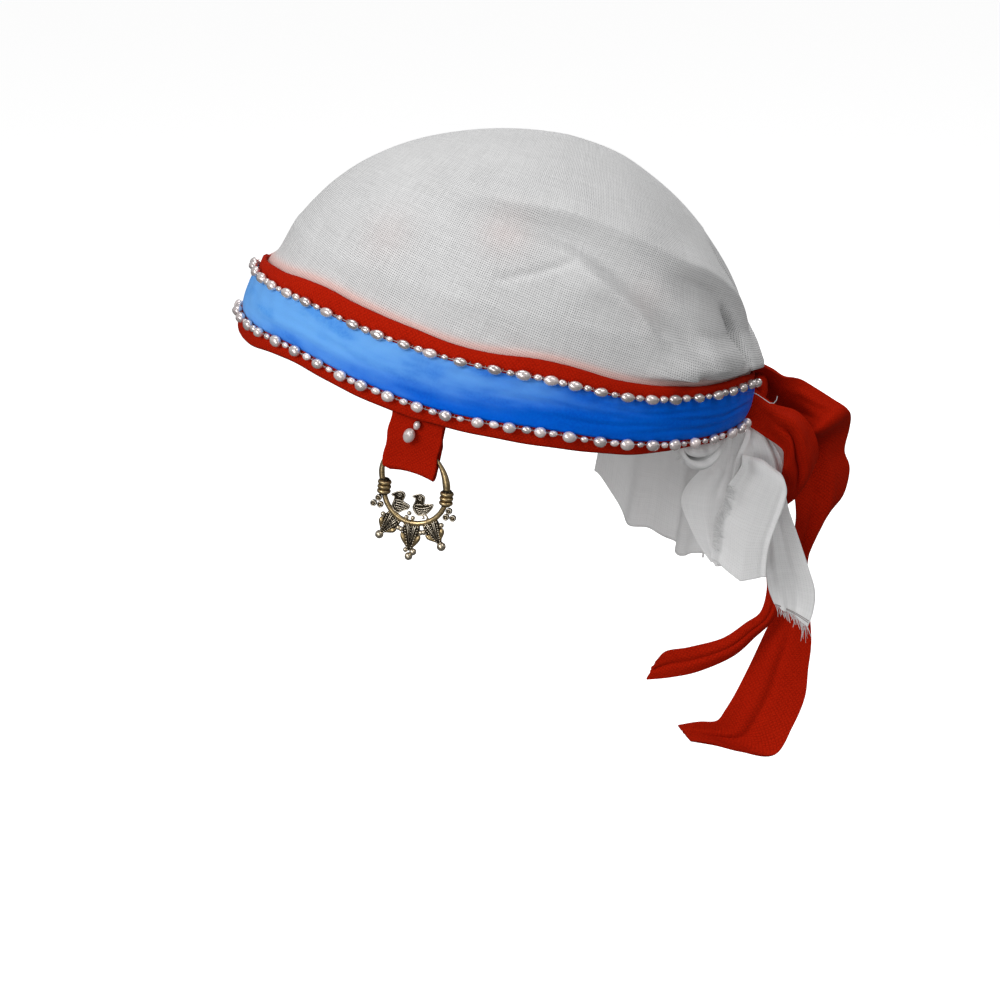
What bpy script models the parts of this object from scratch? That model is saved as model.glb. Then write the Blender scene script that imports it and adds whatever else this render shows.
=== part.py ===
"""Pearl embroidered headband tied over a linen kerchief, with one bronze temple ring.

Metres, +Z up. The face looks toward -X, the wearer's left temple toward -Y, and the knot is at +X.
The origin is the middle of the head opening, in the middle of the band's height.
"""
import math

import bmesh
import bpy
from mathutils import Matrix, Vector

MM = 0.001
GAP = 0.3 * MM                         # clearance between pieces that touch

# The head opening: an egg-shaped loop in a plane that is lower behind than over the forehead.
BAND_TILT = math.radians(12.7)
HALF_LENGTH = 97.3 * MM
HALF_WIDTH = 79.5 * MM
EGG = 0.06                             # how much wider the loop is behind the ears
FOREHEAD_LEAN = math.radians(9)        # the band leans inward at its top over the forehead

WOOL = 1.6 * MM
SILK = 1.0 * MM
LINEN = 1.2 * MM
INSIDE_BAND = -(WOOL + GAP)            # where the linen's outer face runs under the band

PEARL_LENGTH = 5.1 * MM
PEARL_WIDTH = 4.0 * MM
PEARL_PITCH = 11.6 * MM
THREAD = 1.1 * MM
PEARL_CLEAR = 2.1 * MM                 # from a string's middle to the silk's edge beside it
PEARL_REACH = 171                      # degrees round the loop, from the forehead to the knot

TAPE = 1.2 * MM
TAPE_WIDTH = 20.2 * MM
TUNNEL = 1.35 * MM                     # half the room that the fold leaves for the hoop
TAPE_DROP = 22.7 * MM                  # how far the tab hangs below the band
TAPE_HIDDEN = 8 * MM                   # how far it runs up behind the band
TAB_AZIMUTH = 74                       # degrees from the forehead, on the wearer's left

HOOP_RADIUS = 11.9 * MM
HOOP_RISE = 16.5 * MM                  # the upper arms are longer than a half circle
HOOP_WIRE = 0.95 * MM
HOOP_BULGE = 7.0 * MM                  # how much the left arm bows out before it enters the tab
RING_SWAY = math.radians(6.5)          # the ring hangs a little askew
HOOP_DROP = 29.0 * MM                  # hoop centre below the band's lower edge
HOOP_SIDE = -2.6 * MM                  # and this far to one side of the tab's middle

# Heights in mm from the loop's plane, every 20 degrees from the forehead (0) to the knot (180).
# lower edge, lower pearls, upper pearls, upper edge
BAND_ROWS = [
    (-12.2, -5.2, 12.2, 16.0),
    (-12.4, -5.2, 12.5, 18.1),
    (-9.1, -4.3, 13.6, 20.7),
    (-12.1, -6.9, 12.3, 18.6),
    (-13.7, -8.4, 11.6, 16.5),
    (-12.4, -6.6, 12.5, 18.7),
    (-11.1, -6.5, 10.8, 15.5),
    (-7.8, -4.9, 12.7, 15.9),
    (-6.9, -3.2, 14.6, 17.4),
    (-6.3, -3.0, 10.2, 13.6),
]

# The crown's level sections above the band, in mm: height, reach forward, reach back, half width
CROWN_ROWS = [
    (31, 86.0, 91.5, 73.2),
    (40, 81.0, 86.4, 69.3),
    (50, 74.0, 78.5, 63.5),
    (60, 64.0, 68.0, 55.5),
    (70, 49.5, 55.0, 43.5),
    (78, 31.5, 40.5, 28.5),
    (83, 14.0, 27.5, 15.5),
    (86.3, -7.0, 7.0, 0.0),
]
# Collar of the crown just over the band, in mm: height over the band's upper edge, then how far out
# of the band's outer face it stands at the forehead, at the ears and behind
COLLAR_ROWS = [
    (0.5, -2.6, -2.2, -1.9),
    (3.6, -4.4, -2.8, 2.2),
]
HEM_HEIGHT = -1.0 * MM
TUCK_HEIGHT = 9.0 * MM

# Pleats that the knot draws into the crown: azimuth and height (degrees, mm) where each starts, at its
# middle and where it ends, its width and its rise (mm; a valley is negative)
PLEATS = [
    (70, 65, 118, 65, 168, 38, 7.5, 3.0),
    (104, 56, 124, 45, 146, 33, 5.5, -2.6),
    (104, 51, 126, 34, 150, 23, 6.5, 3.2),
    (153, 34, 155, 27, 156, 18, 3.5, -3.0),
    (150, 62, 165, 44, 174, 24, 5.5, 2.0),
    (-78, 64, -120, 63, -168, 37, 7.5, 3.0),
    (-100, 54, -128, 42, -150, 30, 5.5, -2.4),
    (-112, 46, -134, 32, -158, 21, 6.0, 2.6),
    (-176, 60, -177, 42, -176, 20, 4.5, -2.6),
]

KNOT_MIDDLE = (102.6, 8, -18.5)        # mm
KNOT_RADII = (6.2, 8, 8.4)             # mm

# The hanging cloths, in mm, a row for each section down the cloth: one edge x, y, z, the other edge
# x, y, z, and how far the middle bellies out of the straight line between them
TIE_WIDE_ROWS = [
    (102.5, 17.2, -12, 103.5, 17.2, -24, 1.0),
    (113, 16, -15, 114, 18, -27, 3.0),
    (124, 16, -21, 118, 9, -27, 2.0),
    (135, 14, -28, 122, 4, -29, 2.0),
    (138, 14, -47, 121, 5, -49, 4.0),
    (134, 14, -66, 117, 9, -66, 4.0),
    (124, 16, -84, 113, 13, -81, 4.0),
    (120, 18, -102, 108, 18, -100, 4.0),
    (124, 14, -124, 106, 17, -121, 2.0),
    (122, 10, -146, 97, 13, -140, 0.0),
    (110, 6, -170, 88, 9, -155, -2.0),
    (94, 4, -166, 80, 8, -155, -2.0),
    (74, 2, -162, 70, 5, -156, 0.0),
]
TIE_NARROW_ROWS = [
    (100.4, 0.7, -15, 100.4, 0.7, -25, 0.0),
    (106, -4, -21, 103, -7, -32, 3.0),
    (113, -5, -23, 107, -10, -35, 4.0),
    (121, -5, -34, 113, -10, -42, 4.0),
    (122, -2, -46, 115, -6, -52, 3.0),
    (117, 4, -60, 112, 5, -59, 2.0),
    (115, 9, -78, 109, 8, -75, 1.5),
    (113, 8, -98, 107, 8, -93, 1.5),
    (108, 9, -115, 107, 7, -105, 1.5),
    (97, 9, -124, 94, 8, -116, 2.0),
    (78, 5, -133, 76, 3, -122, 2.0),
    (58, 2, -135, 65, 1, -123, 0.0),
]
FLAP_ROWS = [
    (88.5, -18, -27.9, 97, -9.5, -27.4, 0.0),
    (91, -15, -40, 103, -6.5, -37, -1.5),
    (92, -18, -45, 109, -8.5, -47, -3.0),
    (88, -20, -51, 109, -9, -55, -3.0),
    (85, -20, -62, 105, -8.5, -68, -3.0),
    (81, -19, -76, 103, -8.5, -82, -3.0),
    (84, -18, -87, 102, -8.5, -90, -2.0),
]
FOLD_ROWS = [
    (87, -11.0, -28.4, 94.5, -5.0, -28.0, 0.0),
    (83, -8, -40, 96, -4.5, -40, 1.5),
    (76, -8.5, -49, 96, -4.5, -51, 2.0),
    (72, -9, -59, 95, -4.5, -62, 2.0),
    (76, -9, -70, 94, -4.5, -72, 2.0),
    (83, -8, -84, 93, -4.5, -86, 1.0),
]
TAIL_ROWS = [
    (98.5, 2.8, -26.1, 104, 7.0, -25.8, 0.0),
    (99, -1, -40, 107, 2, -40, 0.5),
    (100, -3, -54, 110, 0, -53, -1.0),
    (100, -3, -68, 112, 0, -69, -1.5),
    (102, -2, -84, 119, 2, -87, -1.5),
    (106, -1, -100, 123, 4, -105, -1.5),
    (107, 0, -103, 122, 4, -115, -1.0),
]

NAPE_SPAN = (-122, -176)               # azimuths, on the wearer's right
NAPE_DROP = (46, 63, 57)               # mm, at its front edge, in the middle and at its back edge
RUFFLE_SPAN = (139, 158)
RUFFLE_DROOP = (2.5 * MM, 9.0 * MM)    # at its ends and in its middle
RUFFLE_TUCK = 1.8 * MM                 # how far it runs up behind the band
RUFFLE_BELLY = 2.4 * MM

# The temple ring in its own plane: mm across and up from the hoop's middle
COLLAR_RADII = (1.6, 2.25, 1.6, 2.25, 1.6, 2.25, 1.6)
COLLAR_STEP = 0.85
CLUSTER_BEADS = [(12.9, -4.3), (11.7, -6.8), (14.3, -6.6)]
CLUSTER_RADIUS = 1.45
PERCH_BEAD = (0, -10.2, 1.4)           # across, up, radius: the bead between the birds' feet
BIRD_OUTLINE = [
    (-3.4, 3.9), (-1.6, 4.9), (0.2, 4.6), (0.9, 3.2), (0.6, 2.0), (2.6, 1.0), (5.0, 1.9), (3.4, -0.9),
    (1.2, -2.2), (0.9, -5.3), (-0.6, -5.3), (-0.8, -2.3), (-2.2, -1.2), (-2.9, 0.6), (-1.3, 2.4), (-1.6, 3.3),
]
BIRD_PLACES = [(-4.6, -5.6), (3.2, -5.6)]
BIRD_PLATE = 1.2
DROP_SHOULDERS = [(-4.0, -15.4), (-3.4, -11.4), (3.4, -11.4), (4.0, -15.4)]
DROP_POINT = 0.8                       # half the width of a drop just above its tip bead
DROP_PLATE = 1.3
# Each drop: degrees it leans, how far its tip is from the middle, and its tip beads (across, up from
# the tip, radius)
DROPS = [
    (-32.5, 22.0, [(0, 0, 1.5)]),
    (0, 23.4, [(0, -1.5, 1.5), (-1.3, 0.5, 1.3), (1.3, 0.5, 1.3)]),
    (32.5, 22.0, [(0, 0, 1.5)]),
]


def smooth_row(rows, t):
    """The row of a table at t, from 0 at the first row to 1 at the last, eased through those between."""
    last = len(rows) - 1
    place = min(max(t, 0.0), 1.0) * last
    index = min(int(place), last - 1)
    f = place - index
    picked = [rows[min(max(index + step, 0), last)] for step in (-1, 0, 1, 2)]
    eased = []
    for before, here, after, beyond in zip(*picked):
        bend = 2 * before - 5 * here + 4 * after - beyond
        twist = 3 * (here - after) + beyond - before
        eased.append(here + 0.5 * f * (after - before + f * (bend + f * twist)))
    return eased


def ease(low, high, value):
    """0 below low, 1 above high, and a soft step between."""
    x = min(max((value - low) / (high - low), 0.0), 1.0)
    return x * x * (3 - 2 * x)


def band_frame(u, v, w):
    """World point from distances back, to the wearer's right and up from the loop's plane."""
    x = u * math.cos(BAND_TILT) + w * math.sin(BAND_TILT)
    z = w * math.cos(BAND_TILT) - u * math.sin(BAND_TILT)
    return Vector((x, v, z))


def band_heights(azimuth):
    """Heights of the lower edge, lower pearls, upper pearls and upper edge at an azimuth."""
    return [h * MM for h in smooth_row(BAND_ROWS, abs(azimuth) / 180)]


def band_point(azimuth, height, out=0.0):
    """World point on the band's outer face, or a distance out of it."""
    a = math.radians(azimuth)
    u = -HALF_LENGTH * math.cos(a)
    v = -HALF_WIDTH * math.sin(a) * (1 - EGG * math.cos(a))
    along_u = HALF_LENGTH * math.sin(a)
    along_v = -HALF_WIDTH * (math.cos(a) - EGG * math.cos(2 * a))
    reach = out - height * math.tan(FOREHEAD_LEAN * math.cos(a / 2) ** 2)
    scale = reach / math.hypot(along_u, along_v)
    return band_frame(u + along_v * scale, v - along_u * scale, height)


def dome_point(azimuth, t):
    """World point on the crown without its pleats, t from 0 just over the collar to 1 at the top."""
    height, front, back, side = (value * MM for value in smooth_row(CROWN_ROWS, t))
    a = math.radians(azimuth)
    u = (back - front) / 2 - (back + front) / 2 * math.cos(a)
    v = -side * math.sin(a) * (1 - EGG * math.cos(a))
    return band_frame(u, v, height)


def dome_level(height):
    """The t of dome_point at a height in mm."""
    low, high = 0.0, 1.0
    for _ in range(24):
        middle = (low + high) / 2
        if smooth_row(CROWN_ROWS, middle)[0] < height:
            low = middle
        else:
            high = middle
    return low


def pleat_lines():
    """Each pleat as points along its line on the dome, with its width and rise."""
    steps = 14
    lines = []
    for start, start_h, middle, middle_h, end, end_h, width, rise in PLEATS:
        points = []
        for i in range(steps + 1):
            f = i / steps
            weights = ((1 - f) * (1 - 2 * f), 4 * f * (1 - f), f * (2 * f - 1))
            azimuth = weights[0] * start + weights[1] * middle + weights[2] * end
            height = weights[0] * start_h + weights[1] * middle_h + weights[2] * end_h
            points.append(crown_rest(azimuth, height * MM))
        lines.append((points, width * MM, rise * MM))
    return lines


def crown_rest(azimuth, height):
    """World point on the crown without its pleats at a height over the loop's plane."""
    lowest = CROWN_ROWS[0][0] * MM
    if height >= lowest:
        return dome_point(azimuth, dome_level(height / MM))
    return band_point(azimuth, height, 0.0).lerp(dome_point(azimuth, 0.0), ease(0.6 * lowest, lowest, height))


def pleat_rise(point, lines):
    """How far the pleats push the crown out at a point."""
    total = 0.0
    for points, width, rise in lines:
        nearest = min(range(len(points)), key=lambda i: (points[i] - point).length_squared)
        ends = min(1.0, 3 * nearest / len(points), 3 * (len(points) - nearest) / len(points))
        total += rise * ends * math.exp(-((points[nearest] - point).length / width) ** 2)
    return total


def material(name, colour, roughness, metallic=0.0):
    made = bpy.data.materials.new(name)
    made.use_nodes = True
    shader = made.node_tree.nodes["Principled BSDF"]
    shader.inputs["Base Color"].default_value = (*colour, 1.0)
    shader.inputs["Roughness"].default_value = roughness
    shader.inputs["Metallic"].default_value = metallic
    made.diffuse_color = (*colour, 1.0)
    return made


def add_object(name, data, finish, home=None):
    made = bpy.data.objects.new(name, data)
    (home or headdress).objects.link(made)
    if not data.materials:
        data.materials.append(finish)
    return made


def cloth(name, columns, rows, place, thickness, finish, inward=-1.0):
    """A cloth wall over the points place(s, t), s across 'columns' and t up 'rows'."""
    mesh = bpy.data.meshes.new(name)
    bm = bmesh.new()
    bmesh.ops.create_grid(bm, x_segments=columns, y_segments=rows, size=0.5)
    for vertex in bm.verts:
        vertex.co = place(vertex.co.x + 0.5, vertex.co.y + 0.5)
    bmesh.ops.remove_doubles(bm, verts=bm.verts, dist=0.05 * MM)
    bm.to_mesh(mesh)
    bm.free()
    mesh.shade_smooth()
    made = add_object(name, mesh, finish)
    wall = made.modifiers.new("wall", "SOLIDIFY")
    wall.thickness = thickness
    wall.offset = inward
    wall.use_even_offset = True
    return made


def hanging_cloth(name, table, columns, rows, thickness, finish):
    """A strip of cloth between the two edges that a table of sections gives."""
    def place(s, t):
        ax, ay, az, bx, by, bz, belly = (value * MM for value in smooth_row(table, t))
        one, other = Vector((ax, ay, az)), Vector((bx, by, bz))
        across = other - one
        ahead = Vector(smooth_row(table, t + 0.02)[:3]) - Vector(smooth_row(table, t - 0.02)[:3])
        normal = across.cross(ahead).normalized()
        return one + across * s + normal * belly * math.sin(math.pi * s)
    return cloth(name, columns, rows, place, thickness, finish, inward=0.0)


def tube(name, points, radii, resolution, finish, closed=False, home=None):
    """A round bar through the points, its radius given at each of them."""
    curve = bpy.data.curves.new(name, "CURVE")
    curve.dimensions = "3D"
    curve.bevel_depth = max(radii)
    curve.bevel_resolution = resolution
    curve.use_fill_caps = not closed
    spline = curve.splines.new("POLY")
    spline.points.add(len(points) - 1)
    for slot, point, radius in zip(spline.points, points, radii):
        slot.co = (*point, 1.0)
        slot.radius = radius / curve.bevel_depth
    spline.use_cyclic_u = closed
    spline.use_smooth = True
    return add_object(name, curve, finish, home)


def as_mesh(made):
    """Turn a curve object into a mesh object with its caps welded."""
    graph = bpy.context.evaluated_depsgraph_get()
    mesh = bpy.data.meshes.new_from_object(made.evaluated_get(graph))
    bm = bmesh.new()
    bm.from_mesh(mesh)
    bmesh.ops.remove_doubles(bm, verts=bm.verts, dist=0.005 * MM)
    bm.to_mesh(mesh)
    bm.free()
    name, home = made.name, made.users_collection[0]
    matrix = made.matrix_world.copy()
    bpy.data.objects.remove(made)
    solid = bpy.data.objects.new(name, mesh)
    solid.matrix_world = matrix
    home.objects.link(solid)
    return solid


def bead(name, place, radii, finish, home=None, segments=10, rings=5):
    """A round or oval bead with its middle and axes at the matrix 'place'."""
    mesh = bpy.data.meshes.new(name)
    bm = bmesh.new()
    size = Matrix.Diagonal((*radii, 1.0))
    bmesh.ops.create_uvsphere(bm, u_segments=segments, v_segments=rings, radius=1.0, matrix=size)
    bm.to_mesh(mesh)
    bm.free()
    mesh.shade_smooth()
    made = add_object(name, mesh, finish, home)
    made.matrix_world = place
    return made


def plate(name, outline, thickness, finish, home):
    """A flat plate with the given outline in the ring's own plane."""
    curve = bpy.data.curves.new(name, "CURVE")
    curve.dimensions = "2D"
    curve.fill_mode = "BOTH"
    curve.extrude = thickness / 2
    spline = curve.splines.new("POLY")
    spline.points.add(len(outline) - 1)
    for slot, (x, z) in zip(spline.points, outline):
        slot.co = (x * MM, z * MM, 0.0, 1.0)
    spline.use_cyclic_u = True
    made = add_object(name, curve, finish, home)
    made.rotation_euler = (math.radians(90), 0, 0)
    bpy.context.view_layer.update()
    return as_mesh(made)


def spread_azimuth(s):
    """Azimuth for s from 0 to 1 round the head, closer together toward the knot."""
    x = 2 * s - 1
    return 180 * x * (1.28 - 0.28 * x * x)


def make_kerchief(finish):
    """The linen over the head, its hem inside the band, and what hangs below the band."""
    lines = pleat_lines()
    middle = band_frame(0.0, 0.0, 20 * MM)
    collar = [None, None] + COLLAR_ROWS
    dome_steps = 8
    levels = len(collar) + dome_steps

    def crown(s, t):
        azimuth = spread_azimuth(s)
        level = round(t * levels)
        if level >= len(collar):
            point = dome_point(azimuth, (level - len(collar)) / dome_steps)
        elif level == 0:
            return band_point(azimuth, HEM_HEIGHT, INSIDE_BAND)
        elif level == 1:
            return band_point(azimuth, TUCK_HEIGHT, INSIDE_BAND)
        else:
            over, front, side, back = (value * MM for value in collar[level])
            turn = abs(azimuth)
            out = front + (side - front) * ease(0, 90, turn) + (back - side) * ease(112, 150, turn)
            point = band_point(azimuth, band_heights(azimuth)[3] + over, out)
            if level == 2:
                return point
        return point + (point - middle).normalized() * pleat_rise(point, lines)

    cloth("kerchief_crown", 38, levels, crown, LINEN, finish)

    def nape(s, t):
        azimuth = NAPE_SPAN[0] + (NAPE_SPAN[1] - NAPE_SPAN[0]) * s
        top = band_point(azimuth, -2 * MM, INSIDE_BAND)
        clear = band_point(azimuth, -9 * MM, INSIDE_BAND - 0.4 * MM)
        front, middle_drop, back = (value * MM for value in NAPE_DROP)
        drop = front + (middle_drop - front) * ease(0.0, 0.2, s) + (back - middle_drop) * ease(0.6, 1.0, s)
        below = clear + Vector((-9 * MM, -6 * MM * (1 - s), -drop))
        pleat = 2.6 * MM * math.sin(5.2 * math.pi * s) * ease(0.2, 1.0, t)
        push = Vector((math.cos(math.radians(azimuth)) * -pleat, -math.sin(math.radians(azimuth)) * pleat, 0))
        tucked = 1 / 6
        if t <= tucked:
            return clear.lerp(top, 1 - t / tucked)
        return clear.lerp(below, (t - tucked) / (1 - tucked)) + push

    cloth("kerchief_nape", 12, 6, lambda s, t: nape(1 - s, 1 - t), LINEN, finish)

    def ruffle(s, t):
        azimuth = RUFFLE_SPAN[0] + (RUFFLE_SPAN[1] - RUFFLE_SPAN[0]) * s
        edge = band_heights(azimuth)[0]
        droop = RUFFLE_DROOP[0] + (RUFFLE_DROOP[1] - RUFFLE_DROOP[0]) * math.sin(math.pi * s) ** 0.7
        height = edge + RUFFLE_TUCK - (RUFFLE_TUCK + droop) * t
        below = max(0.0, (edge - 1 * MM - height) / droop)
        out = INSIDE_BAND - 0.6 * MM + RUFFLE_BELLY * math.sin(math.pi * below) * math.sin(math.pi * s)
        return band_point(azimuth, height, out)

    cloth("kerchief_ruffle", 8, 4, lambda s, t: ruffle(s, 1 - t), LINEN, finish)
    hanging_cloth("kerchief_flap", FLAP_ROWS, 3, 9, LINEN, finish)
    hanging_cloth("kerchief_fold", FOLD_ROWS, 3, 9, LINEN, finish)
    hanging_cloth("kerchief_tail", TAIL_ROWS, 3, 11, LINEN, finish)


def make_band(wool, silk, nacre):
    """The red wool strip, the silk along its middle and the two strings of pearls."""
    def strip(s, t):
        azimuth = 360 * s - 180
        low, _, _, high = band_heights(azimuth)
        return band_point(azimuth, low + (high - low) * t)

    def ribbon(s, t):
        azimuth = 175 * (2 * s - 1)
        _, low, high, _ = band_heights(azimuth)
        low, high = low + PEARL_CLEAR, high - PEARL_CLEAR
        return band_point(azimuth, low + (high - low) * t, GAP + SILK)

    cloth("wool_band", 52, 1, strip, WOOL, wool)
    cloth("silk_strip", 48, 1, ribbon, SILK, silk)
    for name, row in (("pearl_string_lower", 1), ("pearl_string_upper", 2)):
        points, radii = pearl_path(row)
        tube(name, points, radii, 3, nacre)


def pearl_path(row):
    """Points and radii of a string of pearls along one row of the band, one pearl every pitch."""
    lift = GAP + PEARL_WIDTH / 2
    fine = 1440
    azimuths = [PEARL_REACH * (2 * i / fine - 1) for i in range(fine + 1)]
    trail = [band_point(a, band_heights(a)[row], lift) for a in azimuths]
    lengths = [0.0]
    for before, after in zip(trail, trail[1:]):
        lengths.append(lengths[-1] + (after - before).length)
    count = int(lengths[-1] / PEARL_PITCH)
    spare = (lengths[-1] - (count - 1) * PEARL_PITCH) / 2
    points, radii = [], []
    index = 0
    for pearl in range(count):
        for step, radius in ((-0.5, THREAD / 2), (0.0, PEARL_WIDTH / 2), (0.5, THREAD / 2)):
            wanted = spare + pearl * PEARL_PITCH + step * PEARL_LENGTH
            while lengths[index + 1] < wanted:
                index += 1
            points.append(trail[index].lerp(trail[index + 1],
                          (wanted - lengths[index]) / (lengths[index + 1] - lengths[index])))
            radii.append(radius)
    return points, radii


def make_ties(wool):
    """The knot behind the head and the band's two hanging ends."""
    middle = Matrix.Translation(Vector(KNOT_MIDDLE) * MM)
    knot = bead("tie_knot", middle, [r * MM for r in KNOT_RADII], wool, segments=12, rings=6)
    for vertex in knot.data.vertices:
        turn = math.atan2(vertex.co.z, vertex.co.y)
        vertex.co *= 1 - 0.09 * (1 + math.sin(3 * turn + vertex.co.x / (2 * MM)))
    hanging_cloth("tie_wide", TIE_WIDE_ROWS, 2, 24, WOOL, wool)
    hanging_cloth("tie_narrow", TIE_NARROW_ROWS, 2, 22, WOOL, wool)


def ring_matrix():
    """Where the ring's own frame lies: x along the band, z up, y toward the head, origin at the hoop."""
    foot = band_point(TAB_AZIMUTH, band_heights(TAB_AZIMUTH)[0], 0.0)
    before = band_point(TAB_AZIMUTH - 1, 0.0)
    along = band_point(TAB_AZIMUTH + 1, 0.0) - before
    along.z = 0
    along.normalize()
    up = Vector((0, 0, 1))
    inward = up.cross(along)
    depth = WOOL + GAP + 1.9 * MM + TAPE + TUNNEL
    origin = foot + inward * depth + along * HOOP_SIDE - up * HOOP_DROP
    axes = Matrix((along, inward, up)).transposed().to_4x4()
    return Matrix.Translation(origin) @ axes @ Matrix.Rotation(RING_SWAY, 4, "Y")


def make_tab(wool, nacre, frame):
    """The folded tape that holds the ring, and the two pearls sewn on it.

    The fold is cut back at its left end, where the hoop's arm comes out.
    """
    rise = HOOP_DROP + TAPE_HIDDEN
    fold_height = HOOP_DROP - TAPE_DROP
    clear = TUNNEL + TAPE                  # outer face of a layer from the hoop's plane
    closed = TAPE + GAP / 2                # the same above the hoop, where the layers meet
    profile = []
    for i in range(5):
        f = i / 4
        height = rise + (fold_height + 12 * MM - rise) * f
        profile.append((-clear, height))
    for i in range(1, 6):
        turn = math.pi * i / 6
        profile.append((-clear * math.cos(turn), fold_height + clear - clear * math.sin(turn)))
    profile.append((clear, fold_height + clear + 4 * MM))
    profile.append((clear, HOOP_RISE + 3 * MM))
    profile.append((2 * closed - clear + 0.02 * MM, HOOP_RISE + 6 * MM))
    profile.append((2 * closed - clear + 0.02 * MM, rise - 1 * MM))
    hang = Matrix.Translation(Vector((-4.1 * MM, 0, 0))) @ Matrix.Rotation(math.radians(5.9), 4, "Y")

    def tape(s, t):
        y, z = profile[round(t * (len(profile) - 1))]
        notch = 3.4 * MM * ease(-clear, -0.35 * clear, y)
        x = TAPE_WIDTH / 2 - (TAPE_WIDTH - notch) * (1 - s)
        arch = 1.2 * MM * (1 - (2 * s - 1) ** 2) * ease(14 * MM, fold_height, z)
        return frame @ (hang @ Vector((x, y, z + arch)))

    cloth("ring_tab", 3, len(profile) - 1, tape, TAPE, wool, inward=1.0)
    for name, x, z, radii in (("tab_pearl_large", -3.2, 22.4, (2.15, 2.1, 2.9)),
                              ("tab_pearl_small", -0.9, 26.5, (1.3, 1.3, 1.7))):
        spot = Vector((x * MM, -(clear + GAP + radii[1] * MM), z * MM))
        place = frame @ Matrix.Translation(spot) @ Matrix.Rotation(math.radians(14), 4, "Y")
        bead(name, place, [r * MM for r in radii], nacre, rings=6)


def granule(x, z, radius, bronze):
    """A soldered granule in the ring's own plane, sizes in mm."""
    place = Matrix.Translation((x * MM, 0, z * MM))
    return bead("granule", place, [radius * MM] * 3, bronze, solder, segments=8, rings=4)


def make_temple_ring(bronze, frame):
    """Hoop, wound collars, two birds, three pointed drops and granules, soldered into one piece."""
    pieces = []
    hoop_points, hoop_radii = [], []
    for i in range(26):
        turn = 2 * math.pi * i / 26
        over, along = math.sin(turn), math.cos(turn)
        rise = HOOP_RISE if over > 0 else HOOP_RADIUS
        bow = HOOP_BULGE * over * along if over > 0 > along else 0.0
        hoop_points.append((HOOP_RADIUS * along + bow, 0, rise * over))
        hoop_radii.append(HOOP_WIRE * (1 - 0.32 * ease(0.1, 0.9, math.sin(turn))))
    hoop = as_mesh(tube("temple_ring", hoop_points, hoop_radii, 1, bronze, closed=True))
    hoop.data.materials.clear()
    hoop.data.materials.append(bronze)

    for side in (-1, 1):
        points = [(side * HOOP_RADIUS, 0, (i - 3) * COLLAR_STEP * MM) for i in range(len(COLLAR_RADII))]
        radii = [radius * MM for radius in COLLAR_RADII]
        pieces.append(as_mesh(tube("collar", points, radii, 3, bronze, home=solder)))
        for x, z in CLUSTER_BEADS:
            pieces.append(granule(side * x, z, CLUSTER_RADIUS, bronze))
    pieces.append(granule(*PERCH_BEAD, bronze))

    for middle_x, middle_z in BIRD_PLACES:
        outline = [(x + middle_x, z + middle_z) for x, z in BIRD_OUTLINE]
        pieces.append(plate("bird", outline, BIRD_PLATE * MM, bronze, solder))

    for turn, length, tips in DROPS:
        lean = Matrix.Rotation(math.radians(turn), 2)
        kite = DROP_SHOULDERS + [(DROP_POINT, 1 - length), (-DROP_POINT, 1 - length)]
        outline = [tuple(lean @ Vector(point)) for point in kite]
        pieces.append(plate("drop", outline, DROP_PLATE * MM, bronze, solder))
        for x, z, radius in tips:
            pieces.append(granule(*(lean @ Vector((x, z - length))), radius, bronze))

    for piece in pieces:
        piece.hide_render = True
        piece.display_type = "WIRE"
        piece.matrix_world = frame @ piece.matrix_world
    hoop.matrix_world = frame
    join = hoop.modifiers.new("solder", "BOOLEAN")
    join.operation = "UNION"
    join.operand_type = "COLLECTION"
    join.collection = solder
    join.solver = "EXACT"


for old in list(bpy.data.objects):
    bpy.data.objects.remove(old, do_unlink=True)

headdress = bpy.data.collections.new("pearl_headband")
solder = bpy.data.collections.new("cutters")
bpy.context.scene.collection.children.link(headdress)
bpy.context.scene.collection.children.link(solder)

linen = material("white_linen", (0.68, 0.68, 0.69), 0.92)
red_wool = material("red_wool", (0.46, 0.012, 0.003), 0.88)
blue_silk = material("blue_silk", (0.03, 0.26, 0.74), 0.42)
pearl = material("freshwater_pearl", (0.80, 0.72, 0.70), 0.22)
bronze = material("aged_bronze", (0.30, 0.21, 0.10), 0.42, 1.0)

ring_frame = ring_matrix()
make_kerchief(linen)
make_band(red_wool, blue_silk, pearl)
make_ties(red_wool)
make_tab(red_wool, pearl, ring_frame)
make_temple_ring(bronze, ring_frame)
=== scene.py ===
import math
import random

import bmesh
import bpy
import numpy as np
from mathutils import Matrix, Vector


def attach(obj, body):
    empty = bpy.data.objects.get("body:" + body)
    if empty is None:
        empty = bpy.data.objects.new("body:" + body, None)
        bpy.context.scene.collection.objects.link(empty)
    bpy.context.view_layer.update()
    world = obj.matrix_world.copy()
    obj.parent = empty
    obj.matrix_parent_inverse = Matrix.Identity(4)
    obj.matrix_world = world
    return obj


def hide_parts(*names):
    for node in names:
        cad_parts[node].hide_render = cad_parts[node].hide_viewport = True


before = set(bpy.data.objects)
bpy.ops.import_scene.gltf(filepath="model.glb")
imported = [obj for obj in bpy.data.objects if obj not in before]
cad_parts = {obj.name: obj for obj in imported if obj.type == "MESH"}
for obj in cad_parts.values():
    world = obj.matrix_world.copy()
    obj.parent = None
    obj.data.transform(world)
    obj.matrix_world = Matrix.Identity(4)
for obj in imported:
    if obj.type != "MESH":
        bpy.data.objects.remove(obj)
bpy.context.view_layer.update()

# ---------------------------------------------------------------------------------------------------
# The studio: a pale floor well below the hanging ends, a large soft light over the wearer's left
# shoulder, a low fill, and a long lens that looks down on the left temple.
FLOOR_HEIGHT, FLOOR_RADIUS = -0.36, 9.0


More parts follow.
